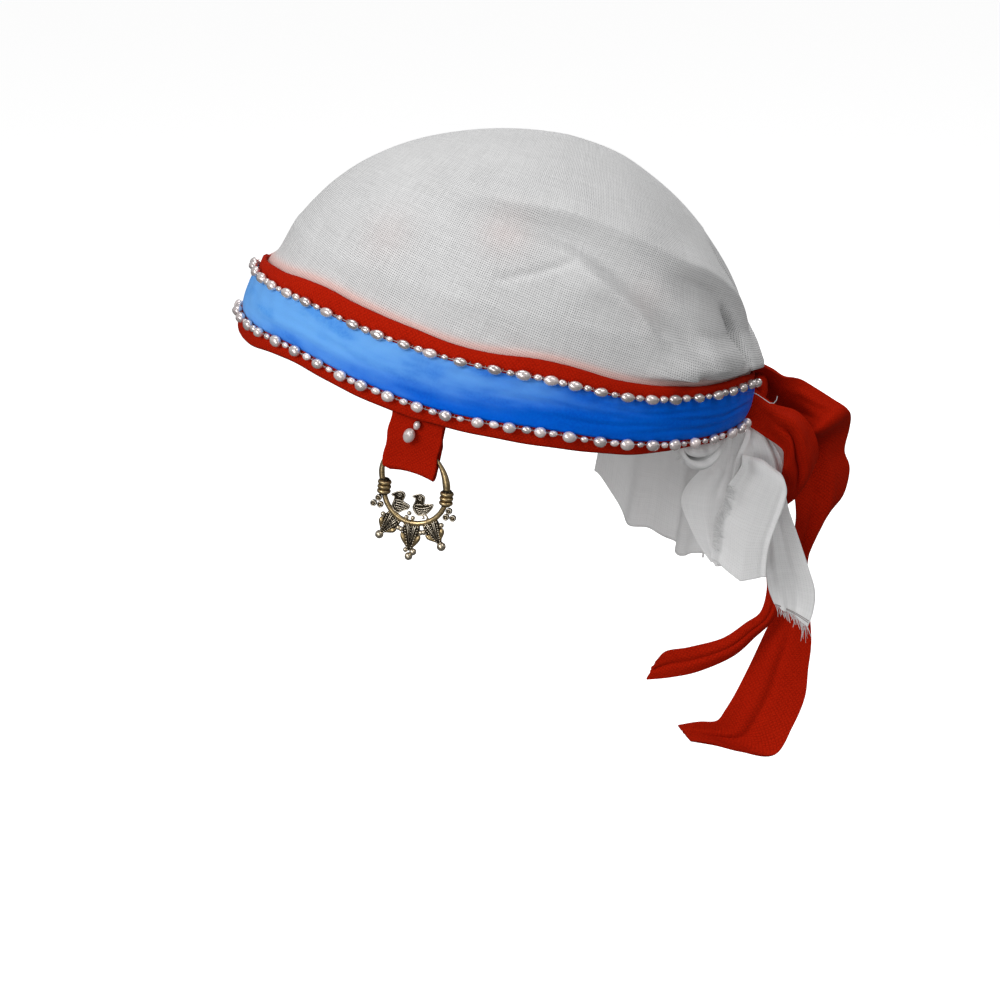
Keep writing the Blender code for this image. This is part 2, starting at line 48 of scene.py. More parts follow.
def camera_sees(tree, lighting, shown, end):
    """Ends a tree so that the camera sees one shader while another one lights the piece."""
    ray, mix = tree.nodes.new("ShaderNodeLightPath"), tree.nodes.new("ShaderNodeMixShader")
    tree.links.new(ray.outputs["Is Camera Ray"], mix.inputs[0])
    tree.links.new(lighting.outputs[0], mix.inputs[1])
    tree.links.new(shown.outputs[0], mix.inputs[2])
    tree.links.new(mix.outputs[0], tree.nodes[end].inputs["Surface"])


floor_bm = bmesh.new()
bmesh.ops.create_circle(floor_bm, cap_ends=True, segments=96, radius=FLOOR_RADIUS,
                        matrix=Matrix.Translation((0, 0, FLOOR_HEIGHT)))
floor_mesh = bpy.data.meshes.new("studio_floor")
floor_bm.to_mesh(floor_mesh)
floor_bm.free()
studio_floor = bpy.data.objects.new("studio_floor", floor_mesh)
bpy.context.scene.collection.objects.link(studio_floor)
pale = bpy.data.materials.new("pale_floor")
pale.use_nodes = True
pale_shader = pale.node_tree.nodes["Principled BSDF"]
for socket_name, value in (("Base Color", (0.93, 0.93, 0.93, 1)), ("Roughness", 0.9),
                           ("Emission Color", (1, 1, 1, 1)), ("Emission Strength", 0.62)):
    pale_shader.inputs[socket_name].default_value = value
dim_shader = pale.node_tree.nodes.new("ShaderNodeBsdfDiffuse")
dim_shader.inputs["Color"].default_value = (0.16, 0.16, 0.16, 1)
camera_sees(pale.node_tree, dim_shader, pale_shader, "Material Output")
floor_mesh.materials.append(pale)

sky = bpy.data.worlds.new("studio_air")
sky.use_nodes = True
soft_air = sky.node_tree.nodes["Background"]
soft_air.inputs["Color"].default_value = (1.0, 1.0, 1.0, 1)
soft_air.inputs["Strength"].default_value = 0.36
bright_air = sky.node_tree.nodes.new("ShaderNodeBackground")
bright_air.inputs["Color"].default_value = (0.985, 0.985, 0.985, 1)
camera_sees(sky.node_tree, soft_air, bright_air, "World Output")
bpy.context.scene.world = sky
bpy.context.scene.view_settings.view_transform = "Standard"

for lamp_name, lamp_place, lamp_size, lamp_watts in (
        ("key_softbox", (-0.95, -1.10, 0.72), 0.8, 11.6), ("fill_softbox", (0.80, -0.60, 1.20), 0.8, 4.2),
        ("front_softbox", (-0.40, -1.45, -0.10), 0.9, 4.6), ("top_softbox", (-0.1, 0.25, 1.3), 0.8, 4.5),
        ("back_softbox", (0.5, 1.4, 0.6), 1.0, 6)):
    lamp = bpy.data.lights.new(lamp_name, "AREA")
    lamp.shape = "DISK"
    lamp.size = lamp_size
    lamp.energy = lamp_watts
    lamp_object = bpy.data.objects.new(lamp_name, lamp)
    lamp_object.location = lamp_place
    lamp_object.rotation_euler = (-Vector(lamp_place)).to_track_quat("-Z", "Y").to_euler()
    bpy.context.scene.collection.objects.link(lamp_object)

CAMERA_LOOKS_DOWN = 17                 # degrees
lens = bpy.data.cameras.new("photo_camera")
lens.lens = 113.2                      # mm, on a sensor of the width below
lens.sensor_width = 36.0
lens.clip_start = 0.01
photo_camera = bpy.data.objects.new("photo_camera", lens)
photo_camera.location = (0.000572, -1.164470, 0.295556)
photo_camera.rotation_euler = (math.radians(90 - CAMERA_LOOKS_DOWN), 0, 0)
bpy.context.scene.collection.objects.link(photo_camera)
bpy.context.scene.camera = photo_camera

# ---------------------------------------------------------------------------------------------------
# The wool band: one strip of fulled red wool, up to 31 mm wide and 1.6 mm thick, that goes right round
# the head and is lower and narrower behind than over the forehead. Its raw edges are felted round.
MM = 0.001
BAND_TILT = math.radians(12.7)
HALF_LENGTH, HALF_WIDTH, EGG = 97.3, 79.5, 0.06   # the head opening's loop, in mm
FOREHEAD_LEAN = math.radians(9)
WOOL = 1.6
FAR_BROW_DROP = 3.8                    # how much lower the band is tied over the far brow
BAND_ROWS = [  # every 20 degrees from the forehead: lower edge, lower pearls, upper pearls, upper edge
    (-12.2, -5.2, 12.2, 16.0), (-12.4, -5.2, 12.5, 18.1), (-9.1, -4.3, 13.6, 20.7),
    (-12.1, -6.9, 12.3, 18.6), (-13.7, -8.4, 11.6, 16.5), (-12.4, -6.6, 12.5, 18.7),
    (-11.1, -6.5, 10.8, 15.5), (-7.8, -4.9, 12.7, 15.9), (-6.9, -3.2, 14.6, 17.4),
    (-6.3, -3.0, 10.2, 13.6),
]


def through(a, b, c, d, f):
    """From b to c as f goes from 0 to 1, on a smooth curve that also passes a and d."""
    return b + 0.5 * f * (c - a + f * (2 * a - 5 * b + 4 * c - d + f * (3 * (b - c) + d - a)))


def row_at(rows, t):
    """Rows of a table at t, from 0 at the first row to 1 at the last, eased through those between."""
    rows = np.asarray(rows, float)
    last = len(rows) - 1
    place = np.clip(np.asarray(t, float), 0, 1) * last
    index = np.minimum(place.astype(int), last - 1)
    near = (rows[np.clip(index + step, 0, last)] for step in (-1, 0, 1, 2))
    return through(*near, (place - index)[..., None])


def ease(low, high, value):
    """0 below low, 1 above high, and a soft step between."""
    x = np.clip((value - low) / (high - low), 0, 1)
    return x * x * (3 - 2 * x)


def band_frame(u, v, w):
    """World points, in mm, from distances back, to the wearer's right and up from the loop's plane."""
    return np.stack(np.broadcast_arrays(u * math.cos(BAND_TILT) + w * math.sin(BAND_TILT), v,
                                        w * math.cos(BAND_TILT) - u * math.sin(BAND_TILT)), -1)


def band_heights(azimuth):
    """Heights of the lower edge, lower pearls, upper pearls and upper edge; tied a little askew, the band
    sits lower over the far brow."""
    around = (np.asarray(azimuth, float) + 180) % 360 - 180
    askew = FAR_BROW_DROP * ease(0, -13, around) * (1 - ease(-30, -95, around))
    return np.moveaxis(row_at(BAND_ROWS, np.abs(around) / 180), -1, 0) - askew


def band_point(azimuth, height, out=0.0):
    """Points on the band's outer face, or a distance out of it."""
    a = np.radians(azimuth)
    u = -HALF_LENGTH * np.cos(a)
    v = -HALF_WIDTH * np.sin(a) * (1 - EGG * np.cos(a))
    along_u = HALF_LENGTH * np.sin(a)
    along_v = -HALF_WIDTH * (np.cos(a) - EGG * np.cos(2 * a))
    scale = (out - height * np.tan(FOREHEAD_LEAN * np.cos(a / 2) ** 2)) / np.hypot(along_u, along_v)
    return band_frame(u + along_v * scale, v - along_u * scale, height)


fine = np.linspace(-180, 180, 1441)
fine_steps = np.linalg.norm(np.diff(band_point(fine, 0 * fine), axis=0), axis=1)
fine_lengths = np.concatenate([[0], np.cumsum(fine_steps)]) - fine_steps.sum() / 2


def round_loop(azimuth):
    """Distance round the loop from the forehead, in mm."""
    return np.interp(azimuth, fine, fine_lengths)


def object_from(name, mesh):
    """An object at the origin from a mesh that is in metres."""
    made = bpy.data.objects.new(name, mesh)
    bpy.context.scene.collection.objects.link(made)
    return made


def thread_counts(wide, long):
    """A pattern for a cloth of that many mm."""
    return lambda s, t: (wide * s, long * t)


def stretch_grid(name, columns, rows, place, pattern, wall=0.0, wall_side=-1.0, painted_red_bounce=None):
    """A cloth: a grid moved to place(s, t), with pattern(s, t) as its UV map, both in mm. A painted red
    bounce light, painted_red_bounce(s, t), is kept on its points."""
    mesh = bpy.data.meshes.new(name)
    bm = bmesh.new()
    bmesh.ops.create_grid(bm, x_segments=columns, y_segments=rows, size=0.5)
    bm.to_mesh(mesh)
    bm.free()
    flat = np.empty(len(mesh.vertices) * 3)
    mesh.vertices.foreach_get("co", flat)
    s, t = flat.reshape(-1, 3)[:, 0] + 0.5, flat.reshape(-1, 3)[:, 1] + 0.5
    mesh.vertices.foreach_set("co", (place(s, t) * MM).ravel())
    corners = np.empty(len(mesh.loops), int)
    mesh.loops.foreach_get("vertex_index", corners)
    threads = mesh.uv_layers.new(name="threads")
    threads.data.foreach_set("uv", np.stack(pattern(s, t), -1)[corners].astype(float).ravel())
    if painted_red_bounce is not None:
        amount = painted_red_bounce(s, t)
        layer = mesh.color_attributes.new(name="painted_red_bounce", type="FLOAT_COLOR", domain="POINT")
        layer.data.foreach_set("color", np.stack([amount, amount, amount, 1 + 0 * amount], -1).ravel())
    bm = bmesh.new()
    bm.from_mesh(mesh)
    bmesh.ops.remove_doubles(bm, verts=bm.verts, dist=0.02 * MM)
    bm.to_mesh(mesh)
    bm.free()
    mesh.shade_smooth()
    made = object_from(name, mesh)
    if wall:
        thick = made.modifiers.new("wall", "SOLIDIFY")
        thick.thickness = wall * MM
        thick.offset = wall_side
    return made


def dress(piece, finish, slot, *nodes):
    """Gives a piece its finish, its body and the CAD nodes that it stands for."""
    if not piece.data.materials:
        piece.data.materials.append(finish)
    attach(piece, "root")
    if nodes:
        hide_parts(*nodes)


def feed(tree, slot, value):
    """Gives a socket a value, or links it to another node's output."""
    if isinstance(value, bpy.types.NodeSocket):
        tree.links.new(value, slot)
    else:
        slot.default_value = value


def add_node(tree, kind, feeds=(), **settings):
    """A shader node with its settings, and pairs of a socket and what feeds it."""
    made = tree.nodes.new("ShaderNode" + kind)
    for name, value in settings.items():
        setattr(made, name, value)
    for name, value in feeds:
        feed(tree, made.inputs[name], value)
    return made


def math_node(tree, operation, *values):
    return add_node(tree, "Math", enumerate(values), operation=operation).outputs[0]


def vector_node(tree, operation, vector, other):
    """Works on a vector with another one or, to scale it, with a number."""
    slot = "Scale" if operation == "SCALE" else 1
    return add_node(tree, "VectorMath", ((0, vector), (slot, other)), operation=operation).outputs[0]


def noise_node(tree, vector, scale, detail=2.0, roughness=0.5):
    return add_node(tree, "TexNoise", (("Scale", scale), ("Detail", detail), ("Roughness", roughness),
                                       ("Vector", vector)))


def remap(tree, value, low, high, to_low=0.0, to_high=1.0):
    """A soft step of a value from one range to another."""
    return add_node(tree, "MapRange", (("Value", value), ("From Min", low), ("From Max", high),
                                       ("To Min", to_low), ("To Max", to_high)),
                    interpolation_type="SMOOTHSTEP").outputs["Result"]


def mix_colours(tree, factor, *colours):
    """From one colour to the other; each is three numbers or an output."""
    one, other = ((*colour, 1.0) if isinstance(colour, tuple) else colour for colour in colours)
    return add_node(tree, "Mix", ((0, factor), (6, one), (7, other)), data_type="RGBA",
                    blend_type="MIX").outputs[2]


def shows_through(tree, colour, noise, low, high, most, other):
    """Lets another colour through a first one where a node's factor goes from low to high."""
    return mix_colours(tree, remap(tree, noise.outputs["Fac"], low, high, 0.0, most), colour, other)


# Plain weave from a UV map in mm: the pinholes between the threads, the over and under of the threads,
# slubs along single threads, and the height of it all.
plain_weave = bpy.data.node_groups.new("plain_weave", "ShaderNodeTree")
for way, socket_names in (("INPUT", ("Cloth", "Pitch", "Waver", "Hole Size")),
                          ("OUTPUT", ("Holes", "Over", "Slubs", "Height"))):
    for socket_name in socket_names:
        plain_weave.interface.new_socket(socket_name, in_out=way, socket_type=(
            "NodeSocketVector" if socket_name == "Cloth" else "NodeSocketFloat"))
weave_in = plain_weave.nodes.new("NodeGroupInput").outputs
weave_out = plain_weave.nodes.new("NodeGroupOutput").inputs


def reckon(operation, *values):
    """A Math node inside the weave."""
    return math_node(plain_weave, operation, *values)


wander = noise_node(plain_weave, weave_in["Cloth"], 0.11).outputs["Color"]
wander = vector_node(plain_weave, "SCALE", vector_node(plain_weave, "SUBTRACT", wander, (0.5, 0.5, 0.5)),
                     reckon("MULTIPLY", weave_in["Waver"], 8.0))
counted = vector_node(plain_weave, "SCALE", vector_node(plain_weave, "ADD", weave_in["Cloth"], wander),
                      reckon("DIVIDE", 1.0, weave_in["Pitch"]))
counts = add_node(plain_weave, "SeparateXYZ", ((0, counted),)).outputs
across, along = (reckon("COSINE", reckon("MULTIPLY", counts[i], 2 * math.pi)) for i in (0, 1))
both = reckon("MULTIPLY", reckon("ADD", across, along), 0.5)
hole = remap(plain_weave, both, reckon("SUBTRACT", 1.0, weave_in["Hole Size"]), 1.0)
over = reckon("MULTIPLY", *(reckon("SINE", reckon("MULTIPLY", counts[i], math.pi)) for i in (0, 1)))
slubs = [noise_node(plain_weave, vector_node(plain_weave, "MULTIPLY", counted, stretch), 1.0, 1.0)
         for stretch in ((0.05, 0.9, 1.0), (0.9, 0.05, 1.0))]
slubs = reckon("MULTIPLY", reckon("ADD", *(noise.outputs["Fac"] for noise in slubs)), 0.5)
height = reckon("ADD", reckon("ADD", reckon("MULTIPLY", over, 0.25), reckon("MULTIPLY", hole, -1.0)), slubs)
for socket_name, value in (("Holes", hole), ("Over", over), ("Slubs", slubs), ("Height", height)):
    plain_weave.links.new(value, weave_out[socket_name])


def new_finish(name, roughness, metallic=0.0, **even):
    """A material with its node tree and shader, and sockets that are the same all over."""
    made = bpy.data.materials.new(name)
    made.use_nodes = True
    shader = made.node_tree.nodes["Principled BSDF"]
    shader.inputs["Roughness"].default_value = roughness
    shader.inputs["Metallic"].default_value = metallic
    for socket_name, value in even.items():
        shader.inputs[socket_name.replace("_", " ")].default_value = value
    return made, made.node_tree, shader


def weave_node(tree, pitch, waver, hole_size):
    uv = add_node(tree, "UVMap", uv_map="threads").outputs[0]
    feeds = ("Pitch", pitch), ("Waver", waver), ("Hole Size", hole_size), ("Cloth", uv)
    return add_node(tree, "Group", feeds, node_tree=plain_weave).outputs


def bump(tree, shader, height, depth, strength=1.0):
    node = add_node(tree, "Bump", (("Distance", depth * MM), ("Strength", strength), ("Height", height)))
    tree.links.new(node.outputs[0], shader.inputs["Normal"])


def object_place(tree):
    """Object coordinates in mm."""
    metres = add_node(tree, "TexCoord").outputs["Object"]
    return vector_node(tree, "MULTIPLY", metres, (1000.0,) * 3)


red_wool, tree, shader = new_finish("red_wool", 0.88, Sheen_Weight=0.02, Sheen_Roughness=0.5,
                                    Sheen_Tint=(1.0, 0.3, 0.15, 1), Specular_IOR_Level=0.03)
weave = weave_node(tree, 0.72, 0.12, 0.75)
place = object_place(tree)
fuzz = noise_node(tree, place, 1.6, 3.0, 0.6)
patches = noise_node(tree, place, 0.035)
colour = mix_colours(tree, remap(tree, weave["Over"], -0.9, 0.9), (0.345, 0.0085, 0.0012),
                     (0.49, 0.013, 0.0022))
colour = mix_colours(tree, math_node(tree, "MULTIPLY", weave["Holes"], 0.30), colour, (0.22, 0.004, 0.0005))
colour = shows_through(tree, colour, fuzz, 0.38, 0.70, 0.50, (0.60, 0.022, 0.004))
colour = shows_through(tree, colour, patches, 0.3, 0.7, 0.22, (0.32, 0.006, 0.001))
tree.links.new(colour, shader.inputs["Base Color"])
nap = math_node(tree, "MULTIPLY", fuzz.outputs["Fac"], 0.8)
bump(tree, shader, math_node(tree, "ADD", weave["Height"], nap), 0.16, 0.7)


def edge_wobble(azimuth, phase):
    """How far a cut edge wanders, in mm."""
    a = np.radians(azimuth)
    return 0.20 * np.sin(5 * a + phase) + 0.13 * np.sin(13 * a + 2.1 * phase) + 0.07 * np.sin(29 * a - phase)


BAND_TURNS = (0.40, 0.50, 0.90)         # shares of the way round the strip's section where it turns
SECTION_LENGTH = 66.0                   # mm round the strip's section
EDGE_ROUND = 0.8                        # radius of its felted edges


def band_section(t):
    """Share of the height and distance out, from 0 to -1, round the strip's section, and its bulge."""
    first, second, third = BAND_TURNS
    share = np.where(t < first, t / first, np.where(t < second, 1.0,
                     np.where(t < third, 1 - (t - second) / (third - second), 0.0)))
    turn = np.where(t < first, 0.0, np.where(t < second, (t - first) / (second - first),
                    np.where(t < third, 1.0, 1 - (t - third) / (1 - third))))
    swell = np.sin(np.pi * turn) * np.where(t < second, 1, -1)
    return share, 0.5 - 0.5 * np.cos(np.pi * turn), swell


def band_strip(s, t):
    azimuth = 360 * s - 180
    low, _, _, high = band_heights(azimuth)
    low, high = low + edge_wobble(azimuth, 0.6), high + edge_wobble(azimuth, 2.2)
    share, depth, swell = band_section(t)
    height = low + EDGE_ROUND + (high - low - 2 * EDGE_ROUND) * share + EDGE_ROUND * swell
    face = np.sin(np.pi * share) * 0.10 * np.sin(np.radians(azimuth) * 31 + 3 * share)
    return band_point(azimuth, height, -WOOL * depth + face * (1 - depth))


wool_band = stretch_grid("wool_band_strip", 420, 20, band_strip,
                         lambda s, t: (round_loop(360 * s - 180), SECTION_LENGTH * t))
dress(wool_band, red_wool, "red_wool", "wool_band")

# ---------------------------------------------------------------------------------------------------
# The silk: a ribbon of fine blue silk laid along the middle of the wool, its edges turned under and
# held down by the two rows of pearls, so that it puffs a little between them.
SILK_REACH = 176.5                      # degrees to each side of the forehead
SILK_TUCK = 0.9                         # how far inside the rows of pearls its edges are
SILK_WIDTH = 19.0                       # mm of pattern across it
SILK_LIFT, SILK_PUFF = 0.55, 0.95       # off the wool at its edges, and how much more in its middle
SILK_CREASES = [  # azimuth and share of the width where each starts and ends, its width and its depth
    (8, 0.30, 62, 0.20, 0.10, 0.22), (30, 0.52, 80, 0.34, 0.09, 0.18), (60, 0.16, 104, 0.26, 0.08, 0.24),
    (84, 0.62, 126, 0.50, 0.07, 0.26), (96, 0.30, 136, 0.40, 0.06, 0.34),
    (108, 0.74, 150, 0.66, 0.06, 0.34), (118, 0.22, 158, 0.30, 0.06, 0.40),
    (126, 0.52, 168, 0.46, 0.05, 0.44), (142, 0.36, 172, 0.62, 0.05, 0.40),
    (150, 0.80, 174, 0.74, 0.05, 0.40), (16, 0.78, 52, 0.70, 0.08, 0.14), (70, 0.84, 98, 0.78, 0.06, 0.18),
]


def silk_strip(s, t):
    azimuth = SILK_REACH * (2 * s - 1)
    _, low, high, _ = band_heights(azimuth)
    low, high = low + SILK_TUCK, high - SILK_TUCK
    out = SILK_LIFT + SILK_PUFF * (1 - np.abs(2 * t - 1) ** 3.2)
    for first, first_t, last, last_t, width, depth in SILK_CREASES:
        for side in (1, -1):
            f = np.clip((azimuth * side - first) / (last - first), 0, 1)
            line = first_t + (last_t - first_t) * f + 0.025 * np.sin(9 * f + first)
            d = (t - line) / width
            out = out - depth * np.sin(np.pi * f) ** 0.7 * (np.exp(-d * d) - 0.6 * np.exp(-(d - 1.5) ** 2))
    a = np.radians(azimuth)
    out = out + 0.05 * np.sin(46 * a + 5 * t) * np.sin(np.pi * t)
    return band_point(azimuth, low + (high - low) * t, out)


blue_silk, tree, shader = new_finish("blue_silk", 0.45, Specular_IOR_Level=0.05)
weave = weave_node(tree, 0.42, 0.08, 0.8)
place = object_place(tree)
uv = add_node(tree, "UVMap", uv_map="threads").outputs[0]
round_head, up_silk, _ = add_node(tree, "SeparateXYZ", ((0, uv),)).outputs
shade_blotches = noise_node(tree, vector_node(tree, "MULTIPLY", uv, (0.35, 1.0, 1.0)), 0.09, 3.0)
# Painted shade: the blue is made deeper toward the back and toward the lower edge, unevenly, to stand in for
# the light falling off round the head and the shade under the silk's puff, not for a dye.
painted_shade_down = math_node(tree, "ADD", math_node(tree, "MULTIPLY", math_node(tree, "SUBTRACT", 9.5, up_silk), 1.9),
                     remap(tree, up_silk, 10.5, 2.5, 0.0, 50.0))
drift = math_node(tree, "MULTIPLY", math_node(tree, "SUBTRACT", shade_blotches.outputs["Fac"], 0.5), 135.0)
painted_shade_back = math_node(tree, "ADD", math_node(tree, "ABSOLUTE", round_head), painted_shade_down)
painted_shade_back = remap(tree, math_node(tree, "ADD", painted_shade_back, drift), 52.0, 196.0)
grain = noise_node(tree, place, 1.1, 2.0, 0.6)
colour = mix_colours(tree, painted_shade_back, (0.165, 0.455, 0.99), (0.0, 0.125, 0.76))
# Painted shade: darker soft blotches stand in for the shading of the silk's puffs.
colour = shows_through(tree, colour, shade_blotches, 0.46, 0.66, 0.6,
                       mix_colours(tree, painted_shade_back, (0.045, 0.28, 0.86), (0.0, 0.085, 0.60)))
colour = shows_through(tree, colour, grain, 0.35, 0.65, 0.42,
                       mix_colours(tree, painted_shade_back, (0.16, 0.48, 0.97), (0.0, 0.16, 0.82)))
colour = mix_colours(tree, math_node(tree, "MULTIPLY", weave["Holes"], 0.22), colour, (0.0, 0.10, 0.5))
tree.links.new(colour, shader.inputs["Base Color"])
bump(tree, shader, math_node(tree, "ADD", weave["Height"], grain.outputs["Fac"]), 0.05, 0.6)

silk = stretch_grid("silk_ribbon", 380, 22, silk_strip,
                    lambda s, t: (round_loop(SILK_REACH * (2 * s - 1)), SILK_WIDTH * t), wall=0.4)
dress(silk, blue_silk, "blue_silk", "silk_strip")

# ---------------------------------------------------------------------------------------------------
# The pearls: small drilled freshwater pearls, a large oval one and a tiny one by turns, threaded on a
# linen thread along each edge of the silk and couched down with two stitches in every gap.
LOWER_PEARLS = (6, 12.9, 19.5, 26.1, 33.8, 41.0, 48.5, 55.0, 60.6, 67.1, 73.7, 79.9, 86.7, 93.3, 99.8, 106.2,
                113.1, 119.7, 126.3, 132.5, 139.1, 146.2, 154.4, 160.7, 167.0)
UPPER_PEARLS = (3, 10, 17.5, 24.5, 32.2, 39.7, 46.9, 54.5, 61.1, 67.6, 73.6, 80.3, 87.6, 93.7, 99.7, 105.0,
                110.8, 117.2, 123.4, 129.6, 136.7, 143.4, 149.5, 154.5, 160.0, 166.5)
PEARL_LIFT, TINY_LIFT, THREAD_LIFT = 2.25, 1.72, 1.35    # middles of each from the wool's face
TINY_PEARL = (1.62, 1.20, 1.15)         # its radii
TINY_PEARL_GAP = 8.6                    # large pearls closer than this have no tiny one between them
STITCH_SHARES = (0.27, 0.73)            # where the stitches are between two large pearls
STITCH_ARC = ((-0.42, 0.05), (-0.36, 0.9), (0.0, 1.58), (0.36, 0.9), (0.42, 0.05))
STITCH_RADIUS, THREAD_RADIUS = 0.10, 0.15


def stand(azimuth, height, out):
    """Matrix in mm at a place on the band: x along it, y up across it and z out of it."""
    here = Vector(band_point(azimuth, height, out))
    along = (Vector(band_point(azimuth + 0.5, height, out)) - here).normalized()
    outward = (Vector(band_point(azimuth, height, out + 1.0)) - here).normalized()
    up = outward.cross(along)
    return Matrix.Translation(here) @ Matrix((along, up, outward)).transposed().to_4x4()


def paint(bm, faces, tone):
    """Smooths faces, and keeps a tint on their corners unless it is None."""
    if tone is not None:
        layer = bm.loops.layers.float_color.get("tint") or bm.loops.layers.float_color.new("tint")
    for face in faces:
        face.smooth = True
        for loop in face.loops if tone is not None else ():
            loop[layer] = (tone, tone, tone, 1.0)


def faces_of(verts):
    return {face for vertex in verts for face in vertex.link_faces}


def add_pearl(bm, place, radii, tint, chance, segments=12, rings=7):
    """One slightly irregular pearl, with its tint kept on its corners."""
    made = bmesh.ops.create_uvsphere(bm, u_segments=segments, v_segments=rings, radius=1.0)["verts"]
    taper, dent, turn = chance.uniform(-0.13, 0.13), chance.uniform(0.0, 0.07), chance.uniform(0, 6.3)
    lobes = chance.choice((2, 3))
    for vertex in made:
        x, y, z = vertex.co
        swell = 1 + taper * z + dent * math.sin(lobes * math.atan2(y, x) + turn + 2 * z)
        vertex.co = (z * radii[0], x * swell * radii[1], y * swell * radii[2])
    roll = Matrix.Rotation(chance.uniform(-0.10, 0.10), 4, "Z")
    bmesh.ops.transform(bm, matrix=Matrix.Scale(MM, 4) @ place @ roll, verts=made)
    paint(bm, faces_of(made), tint)


def finish_mesh(name, bm):
    """An object at the origin from a bmesh that is in metres."""
    bmesh.ops.recalc_face_normals(bm, faces=bm.faces)
    mesh = bpy.data.meshes.new(name)
    bm.to_mesh(mesh)
    bm.free()
    return object_from(name, mesh)


pearl_finish, tree, shader = new_finish("freshwater_pearl", 0.22, Coat_Weight=0.8, Coat_Roughness=0.10,
                                        Coat_IOR=1.6, Specular_IOR_Level=0.6)
tint = add_node(tree, "Attribute", attribute_name="tint").outputs["Fac"]
place = object_place(tree)
growth_rings, pits = noise_node(tree, place, 0.55), noise_node(tree, place, 2.4)
colour = mix_colours(tree, tint, (0.50, 0.45, 0.45), (1.0, 0.86, 0.83))
colour = shows_through(tree, colour, growth_rings, 0.35, 0.68, 0.35, (0.90, 0.84, 0.83))
tree.links.new(colour, shader.inputs["Base Color"])
tree.links.new(remap(tree, tint, 0.35, 0.85, 0.74, 0.36), shader.inputs["Metallic"])
bump(tree, shader, math_node(tree, "ADD", growth_rings.outputs["Fac"],
                             math_node(tree, "MULTIPLY", pits.outputs["Fac"], 0.25)), 0.35, 0.5)


def add_wire(bm, points, radii, sides=8, closed=False, tone=None):
    """A round wire or thread through the points, in the bmesh's units; open ends are drawn to a point."""
    points = [Vector(point) for point in points]
    if not isinstance(radii, (list, tuple)):
        radii = [radii] * len(points)
    radii = list(radii)
    if closed:
        points, radii = points + points[:1], radii + radii[:1]
    else:
        first, last = (points[0] - points[1]).normalized(), (points[-1] - points[-2]).normalized()
        points = [points[0] + first * radii[0] * 0.5] + points + [points[-1] + last * radii[-1] * 0.5]
        radii = [1e-7] + radii + [1e-7]
    count = len(points)
    frames = []
    normal = None
    for i, point in enumerate(points):
        if closed:
            ahead = points[(i + 1) % (count - 1)] - points[(i - 1) % (count - 1)]
        else:
            ahead = points[min(i + 1, count - 1)] - points[max(i - 1, 0)]
        ahead.normalize()
        if normal is None:
            normal = ahead.orthogonal().normalized()
        else:
            normal = (normal - ahead * normal.dot(ahead)).normalized()
        frames.append((normal.copy(), ahead.cross(normal)))
    if closed:
        frames[-1] = frames[0]
    made = bmesh.ops.create_grid(bm, x_segments=sides, y_segments=count - 1, size=0.5)["verts"]
    for vertex in made:
        turn = 2 * math.pi * (vertex.co.x + 0.5)
        i = round((vertex.co.y + 0.5) * (count - 1))
        one, other = frames[i]
        vertex.co = points[i] + (one * math.cos(turn) + other * math.sin(turn)) * radii[i]
    paint(bm, faces_of(made), tone)
    bmesh.ops.remove_doubles(bm, verts=made, dist=min(r for r in radii if r > 1e-6) * 0.05)


def thread_finish(name, roughness, dark, pale_strand):
    """Linen thread, with its finish's tree, shader and the noise of its strands."""
    finish, tree, shader = new_finish(name, roughness)
    strands = noise_node(tree, object_place(tree), 1.3).outputs["Fac"]
    tree.links.new(mix_colours(tree, strands, dark, pale_strand), shader.inputs["Base Color"])
    return finish, tree, shader, strands


# Painted shade: the thread is given a dark grey (0.24 to 0.50) to stand in for the shadow between the pearls;
# the linen thread itself is paler.
thread_painted_dark, tree, shader, strands = thread_finish("linen_thread", 0.8, (0.24, 0.21, 0.21),
                                                    (0.50, 0.46, 0.46))
bump(tree, shader, strands, 0.1)
loose_thread = thread_finish("loose_linen_thread", 0.85, (0.66,) * 3, (0.88,) * 3)[0]

